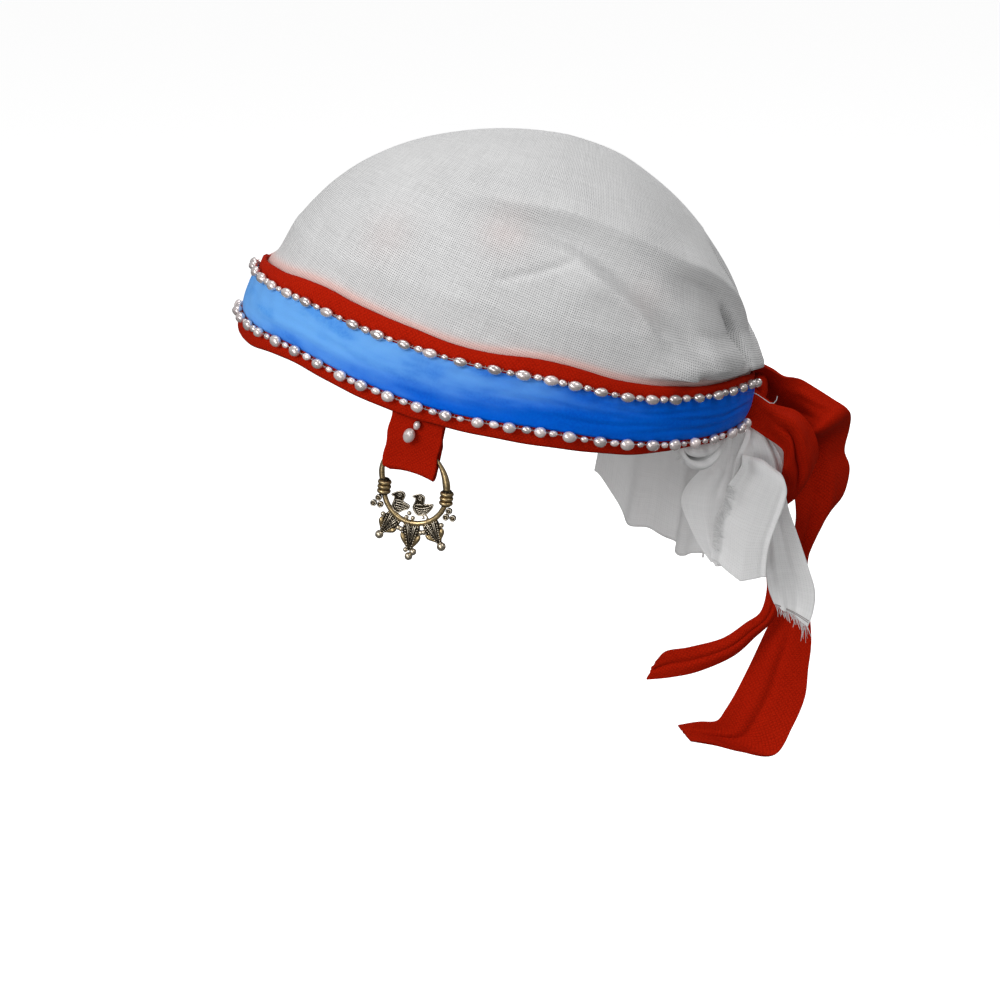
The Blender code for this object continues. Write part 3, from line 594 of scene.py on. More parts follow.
chance = random.Random(5)
for row_name, row, stations, long_radius, short_radius, base_tint in (
        ("lower", 1, LOWER_PEARLS, 2.42, 2.02, 0.72), ("upper", 2, UPPER_PEARLS, 2.68, 1.86, 0.36)):
    nearest = [-a + chance.uniform(-0.5, 0.5) for a in reversed(stations)] + list(stations)
    strung = bmesh.new()
    couching = bmesh.new()
    for azimuth, following in zip(nearest, nearest[1:] + [None]):
        height = float(band_heights(np.float64(azimuth))[row])
        place = stand(azimuth, height, PEARL_LIFT + chance.uniform(-0.12, 0.12))
        size = chance.uniform(0.93, 1.07)
        add_pearl(strung, place, (long_radius * size * chance.uniform(0.94, 1.08), short_radius * size,
                                  short_radius * chance.uniform(0.93, 1.0)),
                  base_tint + chance.uniform(-0.28, 0.3), chance)
        if following is None:
            continue
        middle = (azimuth + following) / 2
        spacing = float(round_loop(following) - round_loop(azimuth))
        if spacing > TINY_PEARL_GAP:
            height = float(band_heights(np.float64(middle))[row]) + chance.uniform(-0.15, 0.15)
            size = chance.uniform(0.85, 1.18)
            add_pearl(strung, stand(middle + chance.uniform(-0.4, 0.4), height, TINY_LIFT),
                      [radius * size for radius in TINY_PEARL], base_tint + chance.uniform(-0.3, 0.4), chance,
                      10, 6)
        for share in STITCH_SHARES:
            height = float(band_heights(np.float64(middle))[row])
            spot = stand(azimuth + (following - azimuth) * share, height, 0.0)
            lean = chance.uniform(-0.35, 0.35)
            add_wire(couching, [spot @ Vector((lean * y, y, out)) * MM for y, out in STITCH_ARC],
                     STITCH_RADIUS * MM, 5)
    turns = np.linspace(nearest[0] - 2.5, nearest[-1] + 2.5, 320)
    trail = band_point(turns, band_heights(turns)[row], THREAD_LIFT + 0 * turns)
    add_wire(couching, [Vector(point) * MM for point in trail], THREAD_RADIUS * MM, 6)
    dress(finish_mesh(f"pearls_{row_name}", strung), pearl_finish, "freshwater_pearl",
          f"pearl_string_{row_name}")
    dress(finish_mesh(f"couching_{row_name}", couching), thread_painted_dark, "white_linen")

# ---------------------------------------------------------------------------------------------------
# The kerchief over the head: thin, open, hand-woven white linen. Its hem runs up inside the band, and
# the knot draws it into long folds that gather at the lower back.
CLEARANCE = 0.3
INSIDE_BAND = -(WOOL + CLEARANCE)
HEM_HEIGHT, TUCK_HEIGHT = -1.0, 9.0
LINEN_WALL = 0.7
COLLAR_SHARE = 0.15                     # share of the cloth's rows that lie below the dome
FOLDS_START, FOLDS_FULL = 0.052, 0.090  # where the folds come free of the band
# over the band's edge, then how far out in front, at the ears and behind
COLLAR_ROWS = [(0.3, -2.7, -2.3, -1.8), (1.9, -3.6, -2.6, 0.4), (4.4, -4.8, -2.9, 2.4)]
CROWN_ROWS = [  # height, reach forward, reach back, half width
    (31, 86.0, 91.5, 73.2), (40, 81.0, 86.4, 69.3), (50, 74.0, 78.5, 63.5), (60, 64.0, 68.0, 55.5),
    (70, 49.5, 55.0, 43.5), (78, 31.5, 40.5, 28.5), (83, 14.0, 27.5, 15.5), (86.3, -7.0, 7.0, 0.0),
]
HEAD_MIDDLE = band_frame(0.0, 0.0, 20.0)


def dome_point(azimuth, t):
    height, front, back, side = np.moveaxis(row_at(CROWN_ROWS, t), -1, 0)
    a = np.radians(azimuth)
    return band_frame((back - front) / 2 - (back + front) / 2 * np.cos(a),
                      -side * np.sin(a) * (1 - EGG * np.cos(a)), height)


LEVELS = np.linspace(0, 1, 400)
LEVEL_HEIGHTS = row_at(CROWN_ROWS, LEVELS)[:, 0]


def crown_rest(azimuth, height):
    """Points on the crown before it is folded, at a height over the loop's plane."""
    azimuth, height = np.asarray(azimuth, float), np.asarray(height, float)
    dome_foot = CROWN_ROWS[0][0]
    dome = dome_point(azimuth, np.interp(height, LEVEL_HEIGHTS, LEVELS))
    share = ease(0.6 * dome_foot, dome_foot, height)[..., None]
    return np.where(height[..., None] >= dome_foot, dome,
                    band_point(azimuth, height) * (1 - share) + dome_point(azimuth, 0 * azimuth) * share)


# Each fold: points along it (azimuth, height and, where it grows, its share of the rise), its width above
# and below (past its line, toward the band), its rise (a valley is negative), how far its crest slips
# down, and how sharp it is.
FOLDS = [
    ([(42, 63.5), (62.5, 65), (87, 66), (100.5, 66), (112, 64), (124, 61), (135, 57), (145.8, 54),
      (154, 50, 0.8), (161, 45, 0.55), (165, 39, 0.3), (166, 33, 0.2), (163.5, 27, 0.2), (161, 23, 0.1)],
     9.0, 5.0, 3.6, 1.0, 1.35),
    ([(58, 60), (74.5, 61), (92.8, 60.8), (105.8, 57.5), (116.8, 50), (125.8, 41.2), (135.5, 31.8),
      (143, 25)], 5.0, 5.5, -3.2, 0.0, 2.0),
    ([(94, 57), (100.8, 53), (106.2, 48.5), (111.8, 44.5), (117.8, 39.5), (121.5, 34.2), (126.2, 28.5),
      (132, 25.5), (138.5, 23.8), (144, 22.6), (148, 22.0)], 3.4, 5.4, 2.8, 0.5, 1.25),
    ([(103, 42), (109.2, 39.5), (114.8, 36), (118.5, 32.5), (123, 28), (130, 24)], 4.0, 4.0, -1.0, 0.0, 1.9),
    ([(151, 45.4, 0), (154.4, 43, 0), (157.4, 38, 0.4), (159.4, 32.8), (158.6, 25), (158, 19), (157, 13)],
     1.0, 2.2, -3.6, 0.0, 1.9),
    ([(126, 54, 0), (132.5, 52, 0.2), (139.8, 50, 0.35), (147.6, 47.4, 0.5), (153.6, 43, 0.6), (157, 38, 0.8),
      (158.4, 31.5, 0.9), (157.6, 24, 0.5), (157, 14, 0.0)], 2.4, 8.0, -3.5, 0.0, 1.8),
    ([(157, 50), (162.5, 43), (164.6, 36), (163.6, 28), (161.4, 20)], 3.6, 2.6, 0.5, 0.0, 2.0),
    ([(122, 18), (129, 19.4), (134, 20.4), (140, 21.2), (146, 21.8), (152, 22), (157, 21)],
     4.2, 1.1, 3.4, 1.2, 1.9),
    ([(120, 15.6), (127, 16.4), (133, 17.2), (139, 18.2), (145, 18.9), (151, 19.3), (156, 19.2)],
     1.2, 1.6, -4.2, 0.0, 2.0),
    ([(70, 22.2), (77.5, 21.6), (86.5, 20.2), (92.5, 19), (96.5, 18), (103, 17.3)], 2.4, 0.8, -2.2, 0.0, 1.6),
    ([(80, 40.5), (84, 42.6), (91.5, 47), (95.8, 49.5), (99.5, 51.8), (103, 54)], 1.8, 1.2, -0.8, 0.0, 1.5),
    ([(28, 50), (48, 57), (70, 58)], 9.0, 7.0, 0.6, 0.0, 2.0),
    ([(20, 30), (44, 40), (66, 44)], 8.0, 8.0, -0.6, 0.0, 2.0),
    ([(173, 62), (175, 48), (176, 36), (176, 28)], 9.0, 9.0, -1.7, 0.0, 2.0),
    ([(-60, 65), (-90, 66), (-118, 64), (-132, 59), (-146, 50), (-154, 40)], 9.0, 6.0, 2.6, 1.0, 2.0),
    ([(-80, 60), (-104, 55), (-122, 46), (-140, 35), (-154, 26)], 5.0, 5.0, -3.2, 0.0, 1.8),
    ([(-104, 50), (-120, 41), (-136, 32), (-152, 23)], 4.0, 4.4, 2.8, 1.0, 2.0),
    ([(-118, 34), (-132, 26), (-146, 20)], 3.0, 3.0, -2.0, 0.0, 1.8),
    ([(-140, 52), (-156, 44), (-165, 34), (-168, 22), (-168, 17)], 3.0, 5.0, -3.6, 0.0, 1.8),
    ([(-60, 26), (-84, 23), (-104, 20)], 2.0, 1.6, -1.1, 0.0, 1.6),
    ([(-176, 62), (-177, 42), (-177, 24)], 5.0, 5.0, -2.4, 0.0, 1.8),
]


def fold_cloth(points):
    """How far each point of the crown is moved by its folds."""
    outward = points - HEAD_MIDDLE
    outward /= np.linalg.norm(outward, axis=-1)[:, None]
    moved = np.zeros_like(points)
    for line, above, below, rise, slip, power in FOLDS:
        path = row_at([(*point, 1.0)[:3] for point in line], np.linspace(0, 1, 36))
        growth, path = path[:, 2], crown_rest(path[:, 0], path[:, 1])
        nearest = np.full(len(points), 1e9)
        share, ahead, gap = np.zeros(len(points)), np.zeros_like(points), np.zeros_like(points)
        heading = np.gradient(path, axis=0)
        for i in range(len(path) - 1):
            step = path[i + 1] - path[i]
            f = np.clip(((points - path[i]) @ step) / (step @ step), 0, 1)
            offset = points - path[i] - f[:, None] * step
            distance = np.linalg.norm(offset, axis=-1)
            closer = distance < nearest
            nearest[closer], gap[closer] = distance[closer], offset[closer]
            share[closer] = (i + f[closer]) / (len(path) - 1)
            ahead[closer] = heading[i] + f[closer, None] * (heading[i + 1] - heading[i])
        up = np.cross(outward, ahead)
        up /= np.linalg.norm(up, axis=-1)[:, None]
        if line[-1][0] < 0:
            up = -up
        side = (gap * up).sum(-1)
        width = below + (above - below) * ease(-0.5, 0.5, side)
        lump = ease(0, 0.25, share) * ease(0, 0.22, 1.0001 - share) * np.exp(-(nearest / width) ** power) \
            * np.interp(share, np.linspace(0, 1, 36), growth)
        moved += outward * (1.35 * rise * lump)[:, None] - up * (slip * lump)[:, None]
    return moved


def crown_cloth(s, t):
    x = 2 * s - 1
    azimuth = 180 * x * (1.28 - 0.28 * x * x)
    turn = np.abs(azimuth)
    upper_edge = band_heights(azimuth)[3]
    controls = [band_point(azimuth, HEM_HEIGHT, INSIDE_BAND), band_point(azimuth, TUCK_HEIGHT, INSIDE_BAND)]
    for over, front, side, back in COLLAR_ROWS:
        out = front + (side - front) * ease(0, 90, turn) + (back - side) * ease(112, 150, turn)
        controls.append(band_point(azimuth, upper_edge + over, out))
    for level in (0.0, 0.06, 0.12):
        controls.append(dome_point(azimuth, level + 0 * azimuth))
    controls = np.stack(controls)
    place = np.clip(t / COLLAR_SHARE, 0, 1) * 6
    index = np.minimum(place.astype(int), 5)
    f = (place - index)[:, None]
    here = np.arange(len(s))
    low = through(*(controls[np.clip(index + step, 0, 7), here] for step in (-1, 0, 1, 2)), f)
    dome = dome_point(azimuth, 0.06 + 0.94 * np.clip((t - COLLAR_SHARE) / (1 - COLLAR_SHARE), 0, 1))
    points = np.where((t <= COLLAR_SHARE)[:, None], low, dome)
    free = ease(FOLDS_START, FOLDS_FULL, t)[:, None]
    return points + fold_cloth(points) * free


def linen_threads(points):
    """Thread counts in mm that run along the band on each side of the head."""
    d = points - HEAD_MIDDLE
    d[:, 1] = -np.abs(d[:, 1])
    reach = np.linalg.norm(d, axis=-1)
    polar = np.arccos(np.clip(-d[:, 1] / reach, -1, 1))
    turn = np.arctan2(d[:, 2], d[:, 0]) + math.radians(22)
    spread = polar * (79 + reach) / 2
    return spread * np.cos(turn), spread * np.sin(turn)


def linen_finish(name, dark_thread, pale_thread, holes, painted_red_bounce=False):
    """Hand-woven linen; where the cloth lies double, less dark shows through between its threads. It may
    carry a painted red bounce light from the wool.
    """
    finish, tree, shader = new_finish(name, 0.92, Sheen_Weight=0.12, Sheen_Roughness=0.6,
                                      Specular_IOR_Level=0.12)
    weave = weave_node(tree, 0.84, 0.14, 0.78)
    place = object_place(tree)
    thick, hairs = noise_node(tree, place, 0.03), noise_node(tree, place, 1.2, 2.0, 0.6)
    colour = mix_colours(tree, remap(tree, weave["Slubs"], 0.3, 0.7), (dark_thread,) * 3, (pale_thread,) * 3)
    colour = shows_through(tree, colour, hairs, 0.3, 0.7, 0.2, (pale_thread + 0.04,) * 3)
    open_cloth = remap(tree, thick.outputs["Fac"], 0.3, 0.7, 0.55 * holes, 0.95 * holes)
    dark = math_node(tree, "MULTIPLY", weave["Holes"], open_cloth)
    colour = mix_colours(tree, dark, colour, (0.13, 0.13, 0.14))
    if painted_red_bounce:
        # Painted light: red light bounced from the wool, painted onto the linen where its points carry it.
        red_bounce_mask = add_node(tree, "Attribute", attribute_name="painted_red_bounce").outputs["Fac"]
        colour = mix_colours(tree, red_bounce_mask, colour, (0.78, 0.30, 0.22))
    tree.links.new(colour, shader.inputs["Base Color"])
    bump(tree, shader, weave["Height"], 0.16, 0.6 if holes > 0.5 else 0.35)
    return finish


white_linen = linen_finish("white_linen", 0.635, 0.735, 1.15, True)
# Painted light: the doubled cloth's threads are painted paler (0.88 to 0.93) than the single cloth's (0.635
# to 0.735), a lighter copy of the same linen; only its fewer dark holes come from the doubling.
doubled_linen_painted_lighter = linen_finish("white_linen_doubled_painted_lighter", 0.88, 0.93, 0.12)


def crown_painted_red_bounce(s, t):
    """Painted red bounce light from the wool on the linen: strongest along the band's edge, with a few soft
    spots on the crown and on the roll by the knot.
    """
    points = crown_cloth(s, t)
    amount = 0.46 * (1 - ease(FOLDS_START, 0.104, t)) * (1 - 0.45 * ease(0.80, 0.97, np.abs(2 * s - 1)))
    for azimuth, height, reach, depth in ((80, 57, 9.0, 0.10), (48, 44, 10.0, 0.06), (122, 44, 8.0, 0.05),
                                          (-90, 50, 9.0, 0.05), (152.5, 19.5, 3.0, 0.10)):
        gap = np.linalg.norm(points - crown_rest(azimuth, height), axis=-1)
        amount = amount + depth * np.exp(-(gap / reach) ** 2)
    return amount


crown = stretch_grid("kerchief_crown_linen", 330, 118, crown_cloth,
                     lambda s, t: linen_threads(crown_cloth(s, t)), wall=LINEN_WALL, painted_red_bounce=crown_painted_red_bounce)
dress(crown, white_linen, "white_linen", "kerchief_crown")

# ---------------------------------------------------------------------------------------------------
# The linen below the band: the long edge that hangs behind the neck on the far side, and a small loop
# that droops from under the band near the knot.
NAPE_SPAN, NAPE_DROP = (-122, -176), (46, 63, 57)


def nape_cloth(s, t):
    s, t = 1 - s, 1 - t
    azimuth = NAPE_SPAN[0] + (NAPE_SPAN[1] - NAPE_SPAN[0]) * s
    top = band_point(azimuth, -2.0, INSIDE_BAND)
    clear = band_point(azimuth, -9.0, INSIDE_BAND - 0.4)
    front, middle, back = NAPE_DROP
    drop = front + (middle - front) * ease(0.0, 0.2, s) + (back - middle) * ease(0.6, 1.0, s)
    drop = drop + 1.2 * np.sin(11 * s + 1) + 0.5 * np.sin(31 * s)
    below = clear + np.stack([-9 + 0 * s, -6 * (1 - s), -drop], -1)
    pleat = ease(0.2, 1.0, t) * (2.6 * np.sin(5.2 * math.pi * s) + 0.8 * np.sin(11.5 * math.pi * s + 2 * t))
    a = np.radians(azimuth)
    push = np.stack([-np.cos(a) * pleat, -np.sin(a) * pleat, 0 * a], -1)
    tucked = 1 / 6
    f = np.clip(t / tucked, 0, 1)[:, None]
    g = np.clip((t - tucked) / (1 - tucked), 0, 1)[:, None]
    return np.where((t <= tucked)[:, None], top + (clear - top) * f, clear + (below - clear) * g + push)


nape = stretch_grid("kerchief_nape_linen", 72, 48, nape_cloth, thread_counts(82, 66), wall=LINEN_WALL)
dress(nape, doubled_linen_painted_lighter, "white_linen", "kerchief_nape")


# share of the droop and distance out: down in front, in to a slit, out round the rolled rim and behind
RUFFLE_PROFILE = [(0, 0), (0.20, 0.6), (0.42, 1.9), (0.57, 2.0), (0.60, -0.6), (0.64, -4.6), (0.74, -5.2),
                  (0.80, -0.8), (0.83, 2.6), (0.92, 3.5), (1.02, 2.2), (1.0, -0.8)]
RUFFLE_START, RUFFLE_SPAN = 138.0, 21   # degrees
RUFFLE_HIDDEN, RUFFLE_DROP = 2.0, 9.4   # how far it starts above the band's edge and drops below it


def ruffle_cloth(s, t):
    azimuth = RUFFLE_START + RUFFLE_SPAN * s
    edge = band_heights(azimuth)[0]
    arch = np.sin(np.pi * s ** 0.78) ** 0.7
    drop, reach = np.moveaxis(row_at(RUFFLE_PROFILE, t), -1, 0)
    height = edge + RUFFLE_HIDDEN - (RUFFLE_HIDDEN + RUFFLE_DROP * arch) * drop
    return band_point(azimuth, height, INSIDE_BAND - 0.9 + reach * (0.2 + 0.8 * arch))


ruffle = stretch_grid("kerchief_ruffle_linen", 60, 72, ruffle_cloth, thread_counts(30, 22), wall=0.5)
dress(ruffle, doubled_linen_painted_lighter, "white_linen", "kerchief_ruffle")

# ---------------------------------------------------------------------------------------------------
# The hanging ends of the linen: a doubled fold, a flap over it, a peak between the band and the flap,
# and a long tail beyond the knot. Cut edges are left raw, so that short threads fringe them.
FLAP_ROWS = [  # an edge (x, y, z), the other edge, and how far the middle bellies out, in mm
    (95.0, -11.5, -43.0, 106.0, -11.0, -48.0, 0.0), (92.8, -15.0, -38.0, 107.0, -15.5, -45.0, -0.6),
    (92.4, -17.8, -37.6, 108.6, -19.0, -47.0, -1.2), (91.8, -18.5, -42.0, 109.6, -20.0, -51.2, -1.4),
    (87.6, -18.2, -48.6, 108.4, -20.5, -57.0, -1.4), (86.2, -17.6, -55.6, 106.2, -20.5, -63.4, -1.2),
    (82.8, -17.0, -63.4, 103.8, -20.0, -71.2, -1.0), (82.6, -16.6, -71.0, 102.8, -19.0, -78.4, -0.8),
    (81.2, -16.4, -78.6, 102.7, -18.4, -84.6, -0.6),
]
PEAK_ROWS = [
    (95.6, -6.8, -26.6, 98.2, -5.6, -26.4, 0.0), (93.6, -12.2, -31.6, 103.0, -7.2, -32.4, 0.6),
    (91.0, -14.0, -37.0, 107.4, -7.8, -39.0, 1.0), (89.4, -14.4, -42.0, 109.4, -7.2, -44.4, 0.8),
    (88.8, -14.6, -47.0, 109.8, -7.0, -48.8, 0.4),
]
FOLD_ROWS = [
    (81.0, -6.4, -30.0, 95.0, -10.4, -30.0, 0.0), (80.0, -7.2, -38.0, 94.0, -10.8, -39.0, 0.6),
    (77.4, -8.2, -45.2, 93.5, -11.4, -45.4, 1.2), (73.4, -9.0, -49.8, 93.0, -12.6, -50.4, 1.6),
    (70.6, -9.4, -54.4, 92.0, -13.4, -55.4, 2.0), (70.1, -9.6, -59.4, 91.3, -14.0, -61.4, 2.0),
    (73.0, -9.6, -67.0, 90.0, -13.8, -69.0, 2.0), (77.2, -9.6, -75.6, 88.6, -13.6, -77.4, 1.6),
    (81.8, -10.0, -82.2, 88.0, -13.0, -84.6, 1.0),
]
TAIL_ROWS = [
    (99.0, 2.0, -26.5, 105.0, 6.5, -27.0, 0.0), (101.5, 0.0, -37.4, 109.5, 3.5, -38.0, -0.6),
    (102.4, -3.5, -48.3, 110.6, -2.0, -51.0, 0.4), (102.6, -5.5, -59.5, 111.4, -5.5, -60.5, 1.0),
    (102.6, -6.0, -73.4, 116.4, -6.0, -75.0, 1.4), (103.2, -5.6, -83.6, 120.0, -5.5, -85.6, 1.6),
    (104.8, -4.6, -94.2, 123.2, -4.5, -96.4, 1.5), (106.8, -3.4, -100.2, 122.8, -3.2, -105.4, 1.2),
    (107.6, -3.0, -101.9, 121.0, -2.4, -111.6, 0.8),
]


def hanging_strip(rows, creases=(), tip=0.0):
    """A place function for a strip between the two edges that the table's sections give."""
    def place(s, t):
        values = row_at(rows, t)
        one, other, belly = values[:, :3], values[:, 3:6], values[:, 6]
        across = other - one
        ahead = row_at(rows, t + 0.02)[:, :3] - row_at(rows, t - 0.02)[:, :3]
        normal = np.cross(across, ahead)
        normal /= np.linalg.norm(normal, axis=-1)[:, None]
        out = belly * np.sin(np.pi * s)
        for middle, drift, width, depth, start, end in creases:
            line = middle + drift * t
            out = out + depth * np.exp(-((s - line) / width) ** 2) * ease(start, start + 0.12, t) \
                * (1 - ease(end - 0.12, end, t))
        placed = one + across * s[:, None] + normal * out[:, None]
        placed[:, 2] -= tip * np.clip(1 - np.abs(s - 0.55) / 0.55, 0, 1) * ease(0.55, 1, t)
        return placed
    return place


# Creases: where across the strip, its drift, width and depth, and the shares of the length it runs between.
for cloth_name, rows, creases, tip, columns, lines, flat in (
        ("flap", FLAP_ROWS, [(0.15, 0.02, 0.09, 1.5, 0.14, 1.2), (0.44, 0.1, 0.20, -0.7, 0.0, 1.2),
                             (0.88, 0.03, 0.05, 0.5, 0.3, 1.2)], 5.4, 40, 80, (0.024, 0.052)),
        ("peak", PEAK_ROWS, [(0.16, -0.1, 0.10, -1.2, 0.12, 1.2), (0.44, 0.05, 0.14, 2.6, 0.14, 1.2),
                             (0.74, 0.05, 0.09, -1.5, 0.16, 1.2), (0.90, 0.02, 0.06, 1.6, 0.2, 1.2)],
         0.0, 36, 42, (0.019, 0.025)),
        ("fold", FOLD_ROWS, [(0.34, 0.1, 0.16, -1.8, 0.2, 1.2), (0.60, 0.0, 0.07, 1.0, -0.1, 0.6),
                             (0.80, -0.05, 0.10, 1.8, 0.0, 1.2)], 0.0, 34, 64, (0.020, 0.060)),
        ("tail", TAIL_ROWS, [(0.22, 0.05, 0.07, -1.1, 0.2, 1.2), (0.50, 0.1, 0.08, 0.9, 0.1, 1.2)], 0.0,
         26, 84, (0.014, 0.086))):
    hung = stretch_grid(f"kerchief_{cloth_name}_linen", columns, lines, hanging_strip(rows, creases, tip),
                        thread_counts(1000 * flat[0], 1000 * flat[1]), wall=LINEN_WALL, wall_side=0.0)
    dress(hung, doubled_linen_painted_lighter, "white_linen", *([] if cloth_name == "peak" else [f"kerchief_{cloth_name}"]))


def fray(bm, edge_point, away, count, lengths, thickness):
    """Loose threads from a raw edge; the edge point and the way out are functions of the edge's share."""
    for i in range(count):
        share = (i + chance.uniform(0.1, 0.9)) / count
        start, out = edge_point(share), away(share)
        length = chance.uniform(*lengths)
        side = Vector((chance.uniform(-1, 1), chance.uniform(-1, 1), chance.uniform(-1, 0.4)))
        out = (out + side * 0.28).normalized()
        points = [start + out * (f * length) + side * (0.22 * length * f * f)
                  + Vector((0, 0, -0.25 * length * f * f)) for f in (-0.15, 0.2, 0.6, 1.0)]
        add_wire(bm, [point * MM for point in points], chance.uniform(*thickness) * MM, 5)


def strip_point(rows, s, t):
    return Vector(hanging_strip(rows)(np.array([float(s)]), np.array([float(t)]))[0])


frayed = bmesh.new()
fray(frayed, lambda f: strip_point(FLAP_ROWS, 0.01, 0.50 + 0.42 * f) + Vector((-0.3, -0.7, 0)),
     lambda f: Vector((0.85, -0.30, 0.45 * math.sin(9 * f + 0.6) - 0.25)), 62, (1.7, 3.4), (0.11, 0.17))
fray(frayed, lambda f: strip_point(TAIL_ROWS, 0.02 + 0.96 * f, 0.995),
     lambda f: Vector((0.25, -0.05, -0.95)), 44, (1.6, 4.0), (0.08, 0.14))
fray(frayed, lambda f: strip_point(TAIL_ROWS, 0.75 + 0.23 * f, 0.995),
     lambda f: Vector((-0.05, 0.0, -1.0)), 4, (5.0, 9.0), (0.08, 0.11))
fray(frayed, lambda f: Vector(ruffle_cloth(np.array([0.02 + 0.10 * f]), np.array([0.9 - 0.3 * f]))[0]),
     lambda f: Vector((-0.9, -0.3, -0.3)), 12, (1.2, 3.2), (0.08, 0.13))
hem_thread = bmesh.new()
for t in (0.940, 0.955):
    add_wire(hem_thread, [(strip_point(TAIL_ROWS, s, t) + Vector((-0.1, -0.75, 0))) * MM
                          for s in np.linspace(0.04, 0.96, 14)], 0.15 * MM, 5)
add_wire(frayed, [Vector(place) * MM for place in
                  ((96.4, -10.5, -14.4), (98.6, -11.0, -15.4), (101.0, -11.4, -17.0), (103.0, -11.4, -18.4),
                   (104.6, -11.2, -18.6), (105.6, -11.0, -17.4), (105.9, -10.9, -15.9))], 0.16 * MM, 6)
dress(finish_mesh("kerchief_drawn_thread", hem_thread), thread_painted_dark, "white_linen")
dress(finish_mesh("kerchief_fringe_linen", frayed), loose_thread, "white_linen")

# ---------------------------------------------------------------------------------------------------
# The knot and the tied ends: the two ends of the wool strip are knotted behind the head. The wide end
# stands out in a loop over the other and both hang down to one side.
TIE_WIDE_ROWS = [  # an edge (x, y, z), the other edge, and how far the middle bellies out, in mm
    (98.5, 1.4, -5.6, 99.6, 11.0, -27.0, 0.0), (101.8, 3.2, -7.6, 102.4, 15.0, -29.0, 0.0),
    (105.8, 5.6, -10.2, 106.2, 19.0, -33.0, 0.0), (110.2, 8.0, -13.2, 110.4, 15.5, -33.0, 1.0),
    (116.0, 9.5, -14.4, 113.8, 9.5, -32.0, 1.8), (122.9, 9.0, -18.6, 116.9, 4.5, -32.8, 2.2),
    (129.5, 8.5, -22.9, 119.0, 0.5, -33.2, 1.8), (134.4, 8.5, -26.2, 120.7, -2.0, -33.0, 1.4),
    (136.4, 13.0, -30.0, 120.8, 4.0, -37.0, 0.6), (136.8, 20.0, -37.2, 117.0, 10.0, -43.0, 0.6),
    (135.4, 22.0, -46.6, 113.6, 10.5, -50.5, 2.0), (137.6, 22.0, -54.0, 115.2, 9.5, -59.5, 2.6),
    (135.5, 21.0, -64.0, 116.3, 9.0, -68.1, 2.6), (130.1, 20.0, -71.4, 116.1, 10.0, -75.8, 2.6),
    (123.9, 19.0, -82.6, 114.6, 12.0, -85.5, 2.6), (121.6, 18.5, -93.8, 112.6, 14.5, -95.6, 2.6),
    (122.7, 16.5, -107.8, 110.6, 16.5, -109.6, 2.6), (124.1, 14, -122.9, 105.6, 16.5, -121.9, 2.2),
    (123.1, 12, -134.4, 100.2, 15, -133.8, 1.4), (122.0, 10, -145.5, 95.1, 13, -143.7, 0.4),
    (117.4, 8, -157.1, 90.6, 10.5, -151.0, -0.8), (110.3, 6, -168.6, 87.0, 9, -155.4, -1.8),
    (97.4, 5, -166.6, 80.3, 8, -155.4, -2.0), (87.2, 4, -163.6, 75.0, 7, -155.6, -1.0),
    (76.5, 3, -161.6, 71.4, 6, -156.0, 0.0),
]
TIE_NARROW_ROWS = [
    (97.0, -5.5, -13.6, 92.8, -9.4, -26.6, 0.0), (101.0, -6.0, -17.6, 98.6, -10.0, -29.8, 1.2),
    (104.9, -6.2, -20.6, 103.0, -11.2, -32.6, 2.2), (108.8, -7.0, -21.6, 106.6, -12.2, -35.0, 2.8),
    (112.5, -7.2, -22.6, 109.0, -12.4, -37.8, 3.2), (116.0, -7.0, -25.2, 109.0, -11.4, -42.6, 3.4),
    (118.8, -6.4, -28.9, 108.6, -9.6, -47.6, 3.4), (121.6, -5.4, -35.1, 109.6, -6.4, -52.6, 3.2),
    (122.1, -3.0, -42.6, 108.8, -2.6, -58.0, 3.0), (118.6, 1.4, -51.4, 107.6, 2.0, -63.4, 2.6),
    (111.4, 5.6, -60.0, 106.2, 6.0, -68.6, 1.8), (109.4, 8.0, -70.6, 104.4, 7.6, -74.6, 1.2),
    (109.4, 8.8, -84.0, 103.8, 8.0, -83.0, 1.2), (110.8, 8.8, -94.6, 105.0, 8, -91.4, 1.2),
    (111.4, 8.8, -104.0, 105.6, 8, -100.0, 1.2),
    (108.0, 9, -112.4, 103.4, 8, -109.0, 1.6), (101.0, 8.6, -119.4, 97.4, 7.6, -113.6, 1.8),
    (92.4, 6, -126.4, 88.2, 5, -119.0, 1.8), (79.0, 3.4, -131.8, 75.4, 3, -121.8, 1.4),
    (68.0, 2, -133.9, 66.0, 1.6, -123.2, 0.6), (58.4, 1, -134.6, 62.0, 1, -127.4, 0.0),
]
KNOT_MIDDLE, KNOT_RADII = Vector((100.4, 8.6, -17.5)), (3.9, 8.0, 6.9)
TIE_WALL, TIE_EDGE_ROUND = 1.5, 0.5

